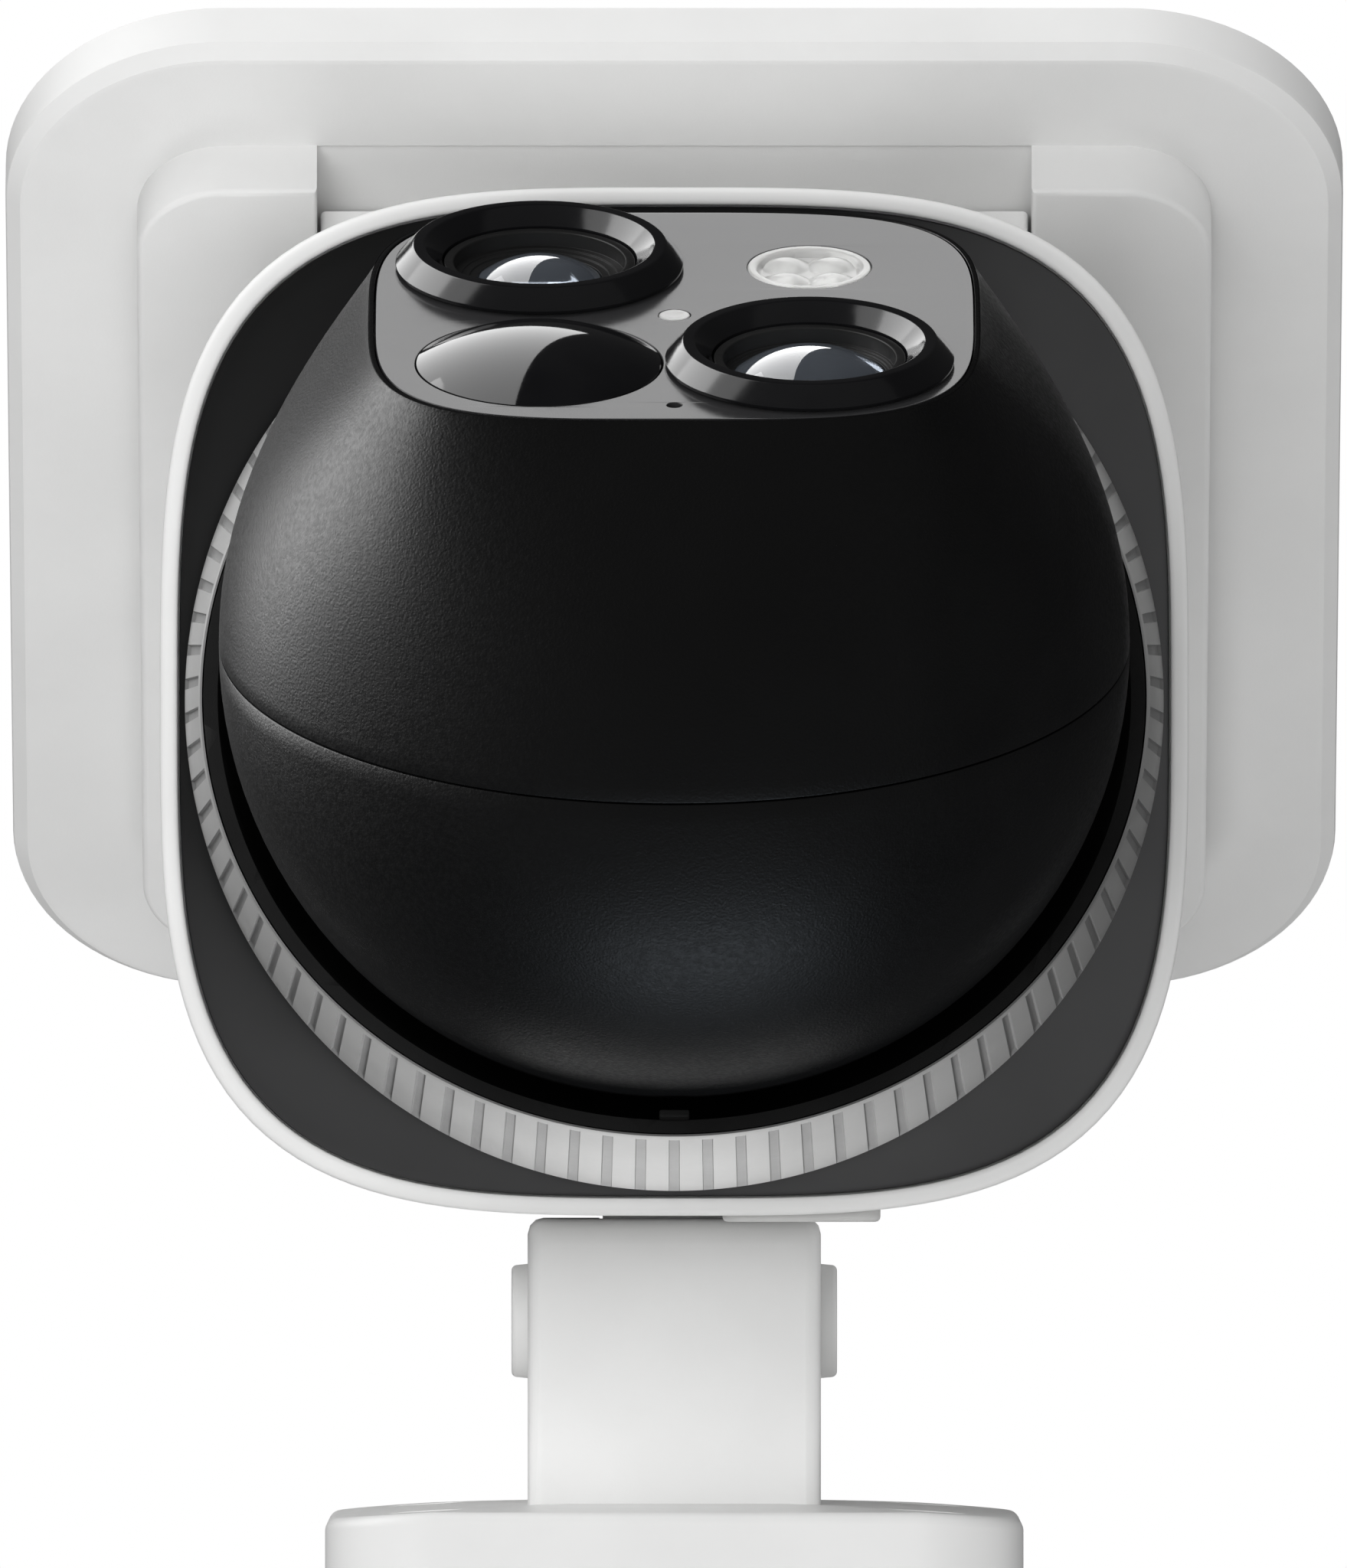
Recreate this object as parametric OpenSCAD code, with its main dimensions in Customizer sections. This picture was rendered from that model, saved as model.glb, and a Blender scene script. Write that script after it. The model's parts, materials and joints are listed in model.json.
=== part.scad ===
// Outdoor pan-and-tilt security camera with two lenses, a solar panel and a wall arm.
// Millimetres. Z is up, the lenses look towards -Y, and the wall is the plane Y = 0.

/* [Wall bracket] */
// Width of the wall plate
plate_w = 63.2; // [58:0.1:70]
// Height of the wall plate
plate_h = 70; // [64:0.5:76]
// Thickness of the wall plate at its middle
plate_t = 6.4; // [6:0.1:8]
// How much thinner the plate is at its left and right edges
plate_arch = 1.3; // [0.5:0.1:2]
// Corner radius of the wall plate
plate_corner = 9.5; // [6:0.5:12]
// Spacing of the wall screws across
screw_x = 46; // [42:1:48]
// Spacing of the wall screws up and down
screw_z = 50; // [44:1:52]
// Radius of the wall screw holes
screw_r = 2.25; // [2:0.05:2.5]
// Width of the arm
arm_w = 26.6; // [24:0.1:30]
// Height of the arm
arm_h = 30; // [28:0.5:34]
// Distance from the wall to the arm's pivot
pivot_y = 22.7; // [20:0.1:26]
// Radius of the pivot pin
pivot_r = 3; // [2.5:0.1:3.5]

/* [Housing] */
// Distance from the wall to the pan axis
pan_y = 79; // [76:0.5:84]
// Width of the square housing
body_w = 92.9; // [90:0.1:96]
// Roundness of the housing's outline
body_power = 3.5; // [3:0.1:4]
// Bottom edge of the housing's rim
rim_z = -36; // [-40:0.5:-34]
// Top of the housing
top_z = 34; // [32:0.5:38]
// Radius along the housing's top edge
top_round = 8; // [6:0.5:9]
// Wall thickness of the housing
wall = 2.2; // [2:0.1:2.4]

/* [Pan cup] */
// Radius of the collar where it meets the face plate
collar_base_r = 44.2; // [43:0.1:44.3]
// Radius of the collar's slanted rim
collar_rim_r = 42.8; // [42:0.1:43]
// Inner radius of the slanted rim
cup_mouth_r = 41.1; // [41:0.1:41.3]
// Slant of the rim
rim_slant = 22; // [20:1:24]
// Depth of the rim's centre below the face plate
rim_drop = 17; // [16.5:0.1:18]
// Distance from the rim's plane to the middle of the ball
ball_out = 12.5; // [12:0.1:13]

/* [Head] */
// Radius of the ball
ball_r = 40.9; // [40:0.1:41]
// How far the lenses look down at rest
lens_pitch = 20.7; // [18:0.1:24]
// Distance from the middle of the ball to the lens plate's face
plate_reach = 31.4; // [30:0.1:32]
// Width of the ball's flattened front
front_w = 55; // [54:0.1:56]
// Distance of the lenses from the middle of the plate, across
lens_u = 12.1; // [12:0.1:12.3]
// Distance of the lenses from the middle of the plate, up and down
lens_v = 12.5; // [12.2:0.1:12.6]

/* [Solar panel] */
// Width of the square panel
panel_w = 122.6; // [118:0.1:126]
// Thickness of the panel frame
panel_t = 6.2; // [6:0.1:7]
// Corner radius of the panel
panel_corner = 20; // [16:0.5:22]
// Width of the raised block on the back
block_w = 98.4; // [94:0.1:100]
// Height of the raised block
block_t = 6.1; // [5.8:0.1:6.5]
// Width of the slot for the hinge bracket
slot_w = 65.4; // [60:0.1:68]
// Slope of the panel at rest
panel_slope = 45; // [40:1:45]

/* [Gears] */
// Tooth size of the pan gear
pan_module = 1; // [1:0.1:1]
// Teeth on the pan gear
pan_teeth = 40; // [40:8:40]
// Tooth size of the tilt gear
tilt_module = 0.8; // [0.8:0.1:0.8]
// Teeth on the tilt gear
tilt_teeth = 36; // [36:12:36]
// Teeth on both pinions
pinion_teeth = 12; // [12:12:12]

/* [Hidden] */

$fn = 64;
fit = 0.05;                            // radial clearance of a running fit
gap = 0.3;                             // clearance between parts that move past each other
over = 1;                              // how far a cut runs past a face
steps = 96;                            // points round a soft square outline

body_a = body_w / 2;
inner_a = body_a - wall;
shell_top = top_z - top_round;
face_z = rim_z + 0.8;                  // underside of the black face plate
face_t = 2.2;
face_a = body_a - 1.75;
face_hole_r = 39;

fork_w = 13.6;                         // slot between the arm's cheeks
web_top = -9.4;
knuckle_r = 9;
swing = 20;                            // how far the housing lifts on the arm

rim_y = -0.5;
ball_y = rim_y - ball_out * sin(rim_slant);
ball_z = face_z - rim_drop - ball_out * cos(rim_slant);
cavity_r = sqrt(pow(cup_mouth_r, 2) + pow(ball_out, 2));
bowl_r = cavity_r + 1.3;
bowl_skin = 0.1;                       // gap between the bowl and the collar round it
collar_t = 1.2;                        // thickness of the collar at its base
rim_edge = 0.3;                        // thickness of the collar at its rim
base_z = face_z - 0.6;

neck_r = 10;
neck_hole_r = 5;
pan_gear_z = ball_z + bowl_r + 0.9;
pan_gear_t = 3;
chassis_z = pan_gear_z + pan_gear_t + 2;
chassis_t = 2.5;
bush_r = 13;
retainer_z = chassis_z + chassis_t + 0.5;
pan_gear_r = pan_module * pan_teeth / 2;
pinion_at = (pan_gear_r + pan_module * pinion_teeth / 2) * cos(45);
post_at = 31.5;
motor_r = 10;
motor_h = 14;

battery_r = 9.2;
battery_l = 65.2;
battery_z = 17;
board_z = battery_z + battery_r + 1;

port_x = 11.5;
port_w = 14.3;
port_h = 11;
port_top = -19.5;
button_x = -20;
button_z = 18;
button_r = 3.9;
button_y = body_a - 1.05;              // outer face of the button, from the pan axis
button_cap = 3.4;
button_press = 1.2;

yoke_half_w = 9;
yoke_half_t = 3.5;
axle_r = 2.5;
tilt_gear_t = 3;
tilt_gear_r = tilt_module * tilt_teeth / 2;
tilt_pinion_reach = tilt_gear_r + tilt_module * pinion_teeth / 2;
tilt_pinion_turn = 198.8;              // direction of the tilt pinion, from the lens plate's up side
tilt_up = 10;
tilt_down = 45;
shell_t = 2.2;
seam = 0.05;
front_a = front_w / 2;
front_power = 3.73;
recess_a = 26.95;                      // half width of the lens plate's recess
opening_a = 24.4;                      // half width of the opening behind the plate
plate_a = 26.8;
frame_r = 35.4;
frame_at = 10.5;                       // where the head's inner frame sits along the lens axis
frame_t = 2;
board_t = 1.6;
board_screw_at = 19.5;
ring_seat_r = 10.6;
lens_depth = 14;
board_at = plate_reach - lens_depth - 0.3 - board_t;
wide_at = [-lens_u, lens_v];
tele_at = [lens_u, -lens_v];
spot_at = [lens_u, lens_v];
pir_at = [-lens_u, -lens_v];
wide_glass_r = 5.5;
tele_glass_r = 6.8;
pir_r = 11;
spot_r = 5.55;
mic_v = -23.2;

panel_a = panel_w / 2;
panel_bevel = 1.5;
block_a = block_w / 2;
slot_floor = 0.3;                      // how far the slot reaches into the panel frame
slot_end = -22;
hinge_n = -3.1;                        // hinge axis below the panel's underside
hinge_y = -40;                         // hinge axis from the pan axis
hinge_z = top_z + 4;
panel_y = -16.2;                       // middle of the panel's underside from the pan axis
hinge_s = (hinge_y - panel_y + hinge_n * sin(panel_slope)) / cos(panel_slope);
panel_z = hinge_z - hinge_s * sin(panel_slope) - hinge_n * cos(panel_slope);
hinge_r = 1.5;
bracket_r = 3.1;
bracket_w = slot_w - 2 * gap;

// ---------- outlines and lofts ----------

// Soft square of half width a: a superellipse, drawn at even angles.
function soft_square(a, power) = [
    for (i = [0 : steps - 1])
        let (
            t = i * 360 / steps,
            r = a / pow(pow(abs(cos(t)), power) + pow(abs(sin(t)), power), 1 / power)
        )
        [r * cos(t), r * sin(t)]
];

// Square of half width a with round corners of radius r, eight points a corner.
function round_square(a, r) = [
    for (q = [0 : 3], i = [0 : 7])
        let (
            t = q * 90 + i * 90 / 7,
            m = q * 90 + 45,
            c = (a - r) * sqrt(2)
        )
        [c * cos(m) + r * cos(t), c * sin(m) + r * sin(t)]
];

function circle_points(r) = [
    for (i = [0 : steps - 1]) [r * cos(i * 360 / steps), r * sin(i * 360 / steps)]
];

function at_height(points, z) = [for (p = points) [p[0], p[1], z]];

// The collar's slanted rim: a flat circle of radius r, turned about X.
function slanted_ring(r, lift) = [
    for (p = circle_points(r)) [
        p[0],
        rim_y + p[1] * cos(rim_slant) + lift * sin(rim_slant),
        face_z - rim_drop - p[1] * sin(rim_slant) + lift * cos(rim_slant)
    ]
];

// Triangles between each ring of n points and the next one, over this many bands.
function bands(n, count, total) = [
    for (k = [0 : count - 1], i = [0 : n - 1], half = [0, 1])
        let (
            a = k * n + i,
            b = k * n + (i + 1) % n,
            c = (a + n) % total,
            d = (b + n) % total
        )
        half == 0 ? [a, c, d] : [a, d, b]
];

// Closed solid through rings of equal length, listed from the bottom up.
module loft(rings) {
    n = len(rings[0]);
    last = (len(rings) - 1) * n;
    sides = bands(n, len(rings) - 1, n * len(rings));
    caps = [
        [for (i = [0 : n - 1]) i],
        [for (i = [n - 1 : -1 : 0]) last + i]
    ];
    polyhedron([for (ring = rings) each ring], concat(sides, caps));
}

// Hollow solid whose wall runs through the rings and back to the first: up the outside, down the inside.
module wall_loft(rings) {
    n = len(rings[0]);
    polyhedron([for (ring = rings) each ring], bands(n, len(rings), n * len(rings)));
}

module soft_prism(a, z0, z1) {
    translate([0, 0, z0]) linear_extrude(z1 - z0) polygon(soft_square(a, body_power));
}

module box(x0, x1, y0, y1, z0, z1) {
    translate([x0, y0, z0]) cube([x1 - x0, y1 - y0, z1 - z0]);
}

module round_prism(a, r, z0, z1) {
    translate([0, 0, z0]) linear_extrude(z1 - z0) polygon(round_square(a, r));
}

module tube(r, r_hole, h) {
    difference() {
        cylinder(r = r, h = h);
        translate([0, 0, -over]) cylinder(r = r_hole, h = h + 2 * over);
    }
}

// Spur gear with straight-sided slim teeth; a tooth points along +X.
module gear(size, teeth, thick, hole_r) {
    pitch = 360 / teeth;
    root = size * (teeth / 2 - 1.25);
    tip = size * (teeth / 2 + 0.85);
    outline = [
        for (i = [0 : teeth - 1])
            each [
                [root, i * pitch - pitch * 0.32],
                [tip, i * pitch - pitch * 0.10],
                [tip, i * pitch + pitch * 0.10],
                [root, i * pitch + pitch * 0.32]
            ]
    ];
    difference() {
        linear_extrude(thick) polygon([for (p = outline) [p[0] * cos(p[1]), p[0] * sin(p[1])]]);
        translate([0, 0, -over]) cylinder(r = hole_r, h = thick + 2 * over);
    }
}

module along_x(x0, x1, r) {
    translate([x0, 0, 0]) rotate([0, 90, 0]) cylinder(r = r, h = x1 - x0);
}

// Screw pointing down, with its head's top at z = 0.
module screw(r, length) {
    translate([0, 0, -1.4]) cylinder(r = 1.9 * r, h = 1.4);
    translate([0, 0, -length]) cylinder(r = r, h = length);
}

module four(x, y) {
    for (i = [-1, 1], j = [-1, 1]) translate([i * x, j * y, 0]) children();
}

// ---------- places ----------

module at_pan() { translate([0, -pan_y, 0]) children(); }
module at_pivot() { translate([0, -pivot_y, 0]) children(); }
module at_ball() { translate([0, ball_y - pan_y, ball_z]) children(); }
module in_head() { at_ball() rotate([90 + lens_pitch, 0, 0]) children(); }
module in_cup() { at_ball() rotate([-rim_slant, 0, 0]) children(); }
module on_plate(p) { translate([p[0], p[1], plate_reach]) children(); }
module in_panel() { translate([0, panel_y - pan_y, panel_z]) rotate([panel_slope, 0, 0]) children(); }
module at_hinge() { translate([0, hinge_y - pan_y, hinge_z]) children(); }

// ---------- wall bracket ----------

// Side view of the arm: X is forward from the pivot, Y is up.
function arm_side() = concat(
    [[-(pivot_y - plate_t + plate_arch), -arm_h / 2], [9.4, -arm_h / 2]],
    [for (t = [0 : 5 : swing]) [9.4 * cos(t), 9.4 * sin(t)]],
    [
        [(9.4 - arm_h / 2 * sin(swing)) / cos(swing), arm_h / 2],
        [-(pivot_y - plate_t + plate_arch), arm_h / 2]
    ]
);

module plate_solid() {
    arch_r = (pow(plate_w / 2, 2) + pow(plate_arch, 2)) / (2 * plate_arch);
    intersection() {
        translate([0, arch_r - plate_t, -plate_h / 2]) cylinder(r = arch_r, h = plate_h, $fn = 256);
        rotate([90, 0, 0]) union() {
            x = plate_w / 2 - plate_corner;
            z = plate_h / 2 - plate_corner;
            box(-x, x, -plate_h / 2, plate_h / 2, 0, plate_t + over);
            box(-plate_w / 2, plate_w / 2, -z, z, 0, plate_t + over);
            four(x, z) cylinder(r = plate_corner, h = plate_t + over);
        }
    }
}

module wall_bracket() {
    color("gainsboro") difference() {
        union() {
            plate_solid();
            at_pivot() translate([-arm_w / 2, 0, 0]) rotate([90, 0, 90]) mirror([1, 0, 0])
                linear_extrude(arm_w) polygon(arm_side());
        }
        at_pivot() box(-fork_w / 2, fork_w / 2, -20, 9.6, web_top, arm_h);
        at_pivot() along_x(-arm_w, arm_w, pivot_r + fit);
        rotate([90, 0, 0]) four(screw_x / 2, screw_z / 2)
            translate([0, 0, -over]) cylinder(r = screw_r, h = plate_t + 2 * over);
    }
}

module pivot_pin() {
    color("silver") at_pivot() along_x(-arm_w / 2, arm_w / 2, pivot_r);
}

module pivot_cap(side) {
    color("gainsboro") at_pivot() translate([side * arm_w / 2, 0, 0]) rotate([0, side * 90, 0])
        cylinder(r1 = 5.2, r2 = 5, h = 1.5);
}

module pivot_cap_left() { pivot_cap(-1); }
module pivot_cap_right() { pivot_cap(1); }

// ---------- housing ----------

module port_pocket() {
    box(port_x - port_w / 2 - gap, port_x + port_w / 2 + gap,
        body_a - 1.2, body_a + over, port_top - port_h - gap, port_top + gap);
    box(port_x - 5, port_x + 5, inner_a - over, body_a, port_top - 8.2, port_top - 3.6);
}

module body_shell() {
    color("white") at_pan() difference() {
        soft_prism(body_a, rim_z, shell_top);
        soft_prism(face_a + 0.15, rim_z - over, face_z + face_t);
        soft_prism(inner_a, face_z, shell_top + over);
        port_pocket();
        translate([button_x, button_y - button_cap, button_z]) rotate([-90, 0, 0])
            cylinder(r = button_r + gap, h = 2 * button_cap);
        for (x = [-5, 5]) translate([x, body_a - 5, 0]) rotate([-90, 0, 0]) cylinder(r = 1.6, h = 10);
        for (i = [-1 : 1], j = [-1 : 1]) translate([-body_a - over, i * 4, j * 4])
            rotate([0, 90, 0]) cylinder(r = 0.9, h = 6);
    }
}

// Rings of the rounded top edge, from the shell's edge up.
function top_rings(a, r, z) = [
    for (t = [0 : 15 : 90])
        at_height(soft_square(a - r * (1 - cos(t)), body_power), z - r * (1 - sin(t)))
];

module top_cover() {
    color("white") at_pan() difference() {
        loft(top_rings(body_a, top_round, top_z));
        loft(top_rings(inner_a, top_round - wall, top_z - wall));
        translate([0, 0, -over]) soft_prism(inner_a, shell_top, shell_top + over + 0.01);
        for (x = [-24, 24]) translate([x, hinge_y + 6, 0]) cylinder(r = 1.3, h = top_z + over);
    }
}

module face_plate() {
    color("#151515") at_pan() difference() {
        soft_prism(face_a, face_z, face_z + face_t);
        translate([0, 0, face_z - over]) cylinder(r = face_hole_r, h = face_t + 2 * over, $fn = 128);
    }
}

module face_seal() {
    color("#222222") at_pan() difference() {
        soft_prism(inner_a - 0.2, face_z + face_t, face_z + face_t + 1.2);
        soft_prism(inner_a - 2, face_z + face_t - over, face_z + face_t + 2 * over);
    }
}

module arm_knuckle() {
    back = pan_y - body_a - pivot_y;
    color("white") at_pivot() difference() {
        union() {
            along_x(-6.5, 6.5, knuckle_r);
            box(-6.5, 6.5, -back, 0, -knuckle_r, knuckle_r);
            box(-9, 9, -back - wall - 2.1, -back - wall - 0.1, -knuckle_r, knuckle_r);
            for (x = [-5, 5]) translate([x, -back, 0]) rotate([90, 0, 0]) cylinder(r = 1.5, h = wall + 0.2);
        }
        along_x(-10, 10, pivot_r + fit);
    }
}

module knuckle_screws() {
    color("silver") at_pan() for (x = [-5, 5])
        translate([x, inner_a - 3.5, 5]) rotate([90, 0, 0]) screw(1.2, 1.4);
}

module pan_chassis() {
    color("dimgray") at_pan() difference() {
        union() {
            soft_prism(inner_a - 0.4, chassis_z, chassis_z + chassis_t);
            for (i = [-1, 1], j = [-1, 1]) translate([i * post_at, j * post_at, face_z + face_t + 0.1])
                cylinder(r = 3.2, h = chassis_z - face_z - face_t);
        }
        translate([0, 0, chassis_z - over]) cylinder(r = bush_r + 0.05, h = chassis_t + 2 * over);
        translate([pinion_at, pinion_at, chassis_z - over]) cylinder(r = 3, h = chassis_t + 2 * over);
        for (i = [-1, 1], j = [-1, 1]) translate([i * post_at, j * post_at, face_z])
            cylinder(r = 1.25, h = chassis_z - face_z + chassis_t + over);
    }
}

module pan_bush() {
    color("darkkhaki") at_pan() translate([0, 0, chassis_z]) tube(bush_r, neck_r + fit, chassis_t);
}

module pan_motor() {
    color("silver") at_pan() translate([pinion_at, pinion_at, 0]) {
        translate([0, 0, chassis_z + chassis_t]) cylinder(r = motor_r, h = motor_h);
        translate([0, 0, pan_gear_z + 0.2]) cylinder(r = 1, h = chassis_z + chassis_t - pan_gear_z);
    }
}

module battery_cells() {
    color("steelblue") at_pan() for (y = [-10.5, 10.5])
        translate([0, y, battery_z]) along_x(-battery_l / 2, battery_l / 2, battery_r);
}

module battery_tray() {
    floor_z = battery_z - battery_r - 2;
    color("#333333") at_pan() difference() {
        box(-36, 36, -22, 22, floor_z, battery_z - 1);
        for (y = [-10.5, 10.5]) translate([0, y, battery_z])
            along_x(-battery_l / 2 - 0.4, battery_l / 2 + 0.4, battery_r + 0.4);
        for (y = [-10.5, 10.5])
            box(-battery_l / 2 - 0.4, battery_l / 2 + 0.4, y - battery_r - 0.4, y + battery_r + 0.4,
                battery_z, battery_z + over);
    }
}

module main_board() {
    color("darkgreen") at_pan() {
        box(-32, 32, -26, 26, board_z, board_z + board_t);
        box(-8, 8, -8, 8, board_z, board_z + board_t + 1.2);
    }
}

module speaker() {
    color("#202020") at_pan() {
        translate([-inner_a + 1.2, 0, 0]) along_x(0, 2, 11);
        translate([-inner_a + 3.2, 0, 0]) along_x(0, 3, 7);
    }
}

module usb_socket() {
    color("silver") at_pan() difference() {
        box(port_x - 4.5, port_x + 4.5, inner_a - 7.5, inner_a - 0.2, port_top - 7.5, port_top - 4.3);
        box(port_x - 4.1, port_x + 4.1, inner_a - 6.5, inner_a + over, port_top - 7.1, port_top - 4.7);
        box(port_x - 3.4, port_x + 3.4, inner_a - 4, inner_a + over, port_top - 6.3, port_top - 5.5);
    }
}

module housing_screws() {
    color("silver") at_pan() for (i = [-1, 1], j = [-1, 1])
        translate([i * post_at, j * post_at, chassis_z + chassis_t + 1.4]) screw(1.1, 10);
}

module panel_bracket() {
    side = [
        [-5, -hinge_z + top_z], [-5, -0.62], [-bracket_r * sin(45), bracket_r * cos(45)],
        [0, bracket_r], [2.5, bracket_r], [9.5, -hinge_z + top_z]
    ];
    color("white") difference() {
        at_hinge() union() {
            translate([-bracket_w / 2, 0, 0]) rotate([90, 0, 90]) linear_extrude(bracket_w) polygon(side);
            along_x(-bracket_w / 2, bracket_w / 2, bracket_r);
        }
        at_hinge() along_x(-slot_w, slot_w, hinge_r + fit);
        at_pan() for (x = [-24, 24]) translate([x, hinge_y + 6, top_z - over]) cylinder(r = 1.2, h = 2.5);
    }
}

module bracket_screws() {
    color("silver") at_pan() for (x = [-24, 24]) translate([x, hinge_y + 6, top_z - wall - 1.6])
        rotate([180, 0, 0]) screw(1.1, 4.8);
}

module port_flap() {
    color("whitesmoke") at_pan() difference() {
        box(port_x - port_w / 2, port_x + port_w / 2, body_a - 1, body_a + 0.6, port_top - port_h, port_top);
        box(port_x - 3, port_x + 3, body_a - over - 0.2, body_a - 0.6, port_top - 7.5, port_top - 4.3);
    }
}

module sync_button() {
    color("gainsboro") at_pan() translate([button_x, 0, button_z]) rotate([-90, 0, 0]) {
        translate([0, 0, button_y - button_cap]) cylinder(r = button_r, h = button_cap);
        translate([0, 0, button_y - button_cap - 1]) cylinder(r = button_r + 1.2, h = 1);
    }
}

module button_switch() {
    back = button_y - button_cap - 1 - button_press - gap;
    color("#303030") at_pan() translate([button_x, 0, button_z]) box(-3, 3, back - 3, back, -3, 3);
}

// ---------- pan drive and cup ----------

module pan_pinion() {
    color("ivory") at_pan() translate([pinion_at, pinion_at, pan_gear_z])
        gear(pan_module, pinion_teeth, pan_gear_t, 1 + fit);
}

module pan_collar() {
    color("white") at_pan() wall_loft([
        slanted_ring(collar_rim_r, 0),
        at_height(circle_points(collar_base_r), base_z),
        at_height(circle_points(collar_base_r - collar_t), base_z),
        slanted_ring(collar_rim_r - rim_edge, 0)
    ]);
}

module pan_bowl() {
    skirt_r = collar_base_r - collar_t - bowl_skin;
    color("#181818") difference() {
        union() {
            at_pan() loft([
                slanted_ring(collar_rim_r - rim_edge - bowl_skin, 0),
                at_height(circle_points(skirt_r), base_z)
            ]);
            intersection() {
                at_ball() sphere(r = bowl_r);
                at_pan() box(-50, 50, -50, 50, base_z - 0.5, 0);
            }
            at_pan() translate([0, 0, ball_z + bowl_r - 6]) cylinder(r = neck_r, h = retainer_z + 2 - ball_z - bowl_r + 6);
        }
        at_ball() sphere(r = cavity_r);
        at_pan() translate([0, 0, ball_z]) cylinder(r = neck_hole_r, h = 90);
    }
}

module pan_gear() {
    color("ivory") at_pan() translate([0, 0, pan_gear_z]) gear(pan_module, pan_teeth, pan_gear_t, neck_r + 0.1);
}

module pan_retainer() {
    color("silver") at_pan() translate([0, 0, retainer_z]) tube(neck_r + 2.5, neck_r + 0.1, 1.2);
}

module tilt_yoke() {
    color("slategray") intersection() {
        at_ball() sphere(r = cavity_r - 0.05);
        in_cup() difference() {
            union() {
                along_x(-yoke_half_w, yoke_half_w, 7);
                box(-yoke_half_w, yoke_half_w, -yoke_half_t, yoke_half_t, 0, cavity_r);
            }
            along_x(-20, 20, axle_r + fit);
            for (x = [-5, 5]) translate([x, 0, 30]) cylinder(r = 1.1, h = 20);
        }
    }
}

module tilt_gear() {
    color("ivory") in_head() translate([yoke_half_w + 0.1, 0, 0]) rotate([tilt_pinion_turn, 0, 0])
        rotate([0, 90, 0]) rotate([0, 0, 90]) gear(tilt_module, tilt_teeth, tilt_gear_t, axle_r + fit);
}

module tilt_axle() {
    color("silver") in_head() along_x(-22, 22, axle_r);
}

// ---------- head ----------

// Half width and roundness of the front shell at distance t along the lens axis.
function shell_a(t) = front_a + (ball_r - front_a) * pow(1 - pow(t / plate_reach, 2.315), 1.184);
function shell_power(t) = 2 + (front_power - 2) * pow(t / plate_reach, 3);

// Rings of the front shell's surface, set in by inset and ending at reach, for these steps of 10 degrees.
function front_rings(inset, reach, turns) = [
    for (k = turns)
        let (t = plate_reach * sin(k * 10))
        at_height(soft_square(shell_a(t) - inset, shell_power(t)), seam + (reach - seam) * sin(k * 10))
];

module head_front_shell() {
    ledge = plate_reach - 1.7;
    color("#1c1c1c") in_head() wall_loft(concat(
        front_rings(0, plate_reach, [0 : 9]),
        [
            at_height(soft_square(recess_a, front_power), plate_reach),
            at_height(soft_square(recess_a, front_power), ledge),
            at_height(soft_square(opening_a, front_power), ledge),
            at_height(soft_square(opening_a, front_power), plate_reach - 3.8)
        ],
        front_rings(shell_t, plate_reach - 3.8, [8 : -1 : 0])
    ));
}

module head_rear_shell() {
    slot_from = 90 - lens_pitch - rim_slant - tilt_down - 6.3;
    slot_turn = tilt_up + tilt_down + 12.6;
    color("#1c1c1c") in_head() difference() {
        sphere(r = ball_r);
        sphere(r = ball_r - shell_t);
        box(-50, 50, -50, 50, -seam, 50);
        rotate([0, 90, 0]) rotate([0, 0, slot_from]) rotate_extrude(angle = slot_turn)
            translate([30, -yoke_half_w - 0.8]) square([15, 2 * yoke_half_w + 1.6]);
    }
}

module head_frame() {
    color("dimgray") in_head() difference() {
        union() {
            translate([0, 0, frame_at]) cylinder(r = frame_r, h = frame_t);
            at_board_screws() translate([0, 0, frame_at]) cylinder(r = 2.4, h = board_at - frame_at);
            for (x = [-18.5, 16]) {
                box(x, x + 2.5, -7, 7, 0, frame_at);
                along_x(x, x + 2.5, 7);
            }
        }
        along_x(-22, 22, axle_r + fit);
        at_board_screws() translate([0, 0, frame_at - over]) cylinder(r = 1.25, h = 6);
        box(-12.8, 12.8, -16, 11.8, frame_at - over, frame_at + frame_t + over);
    }
}

module head_screws() {
    color("silver") in_head() at_board_screws() translate([0, 0, board_at + board_t + 1.4]) screw(1.1, 6);
}

module tilt_motor() {
    color("silver") in_head() rotate([tilt_pinion_turn, 0, 0]) translate([0, tilt_pinion_reach, 0]) {
        along_x(13.8, 24.8, 7.5);
        along_x(yoke_half_w + 0.1, 13.8, 1);
    }
}

module tilt_pinion() {
    color("ivory") in_head() rotate([tilt_pinion_turn, 0, 0])
        translate([yoke_half_w + 0.1, tilt_pinion_reach, 0]) rotate([0, 90, 0]) rotate([0, 0, 90 + 15])
        gear(tilt_module, pinion_teeth, tilt_gear_t, 1 + fit);
}

module lens_plate() {
    color("#2a2a2a") in_head() difference() {
        translate([0, 0, plate_reach - 1.6]) linear_extrude(1.6) polygon(soft_square(plate_a, front_power));
        on_plate(wide_at) translate([0, 0, -3]) cylinder(r = ring_seat_r, h = 5);
        on_plate(tele_at) translate([0, 0, -3]) cylinder(r = ring_seat_r, h = 5);
        on_plate(spot_at) translate([0, 0, -3]) cylinder(r = spot_r + 0.05, h = 5);
        on_plate(pir_at) translate([0, 0, -3]) cylinder(r = pir_r + 0.1, h = 5);
        on_plate([0, 0]) translate([0, 0, -3]) cylinder(r = 1.45, h = 5);
        on_plate([0, mic_v]) translate([0, 0, -3]) cylinder(r = 0.67, h = 5);
    }
}

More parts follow.
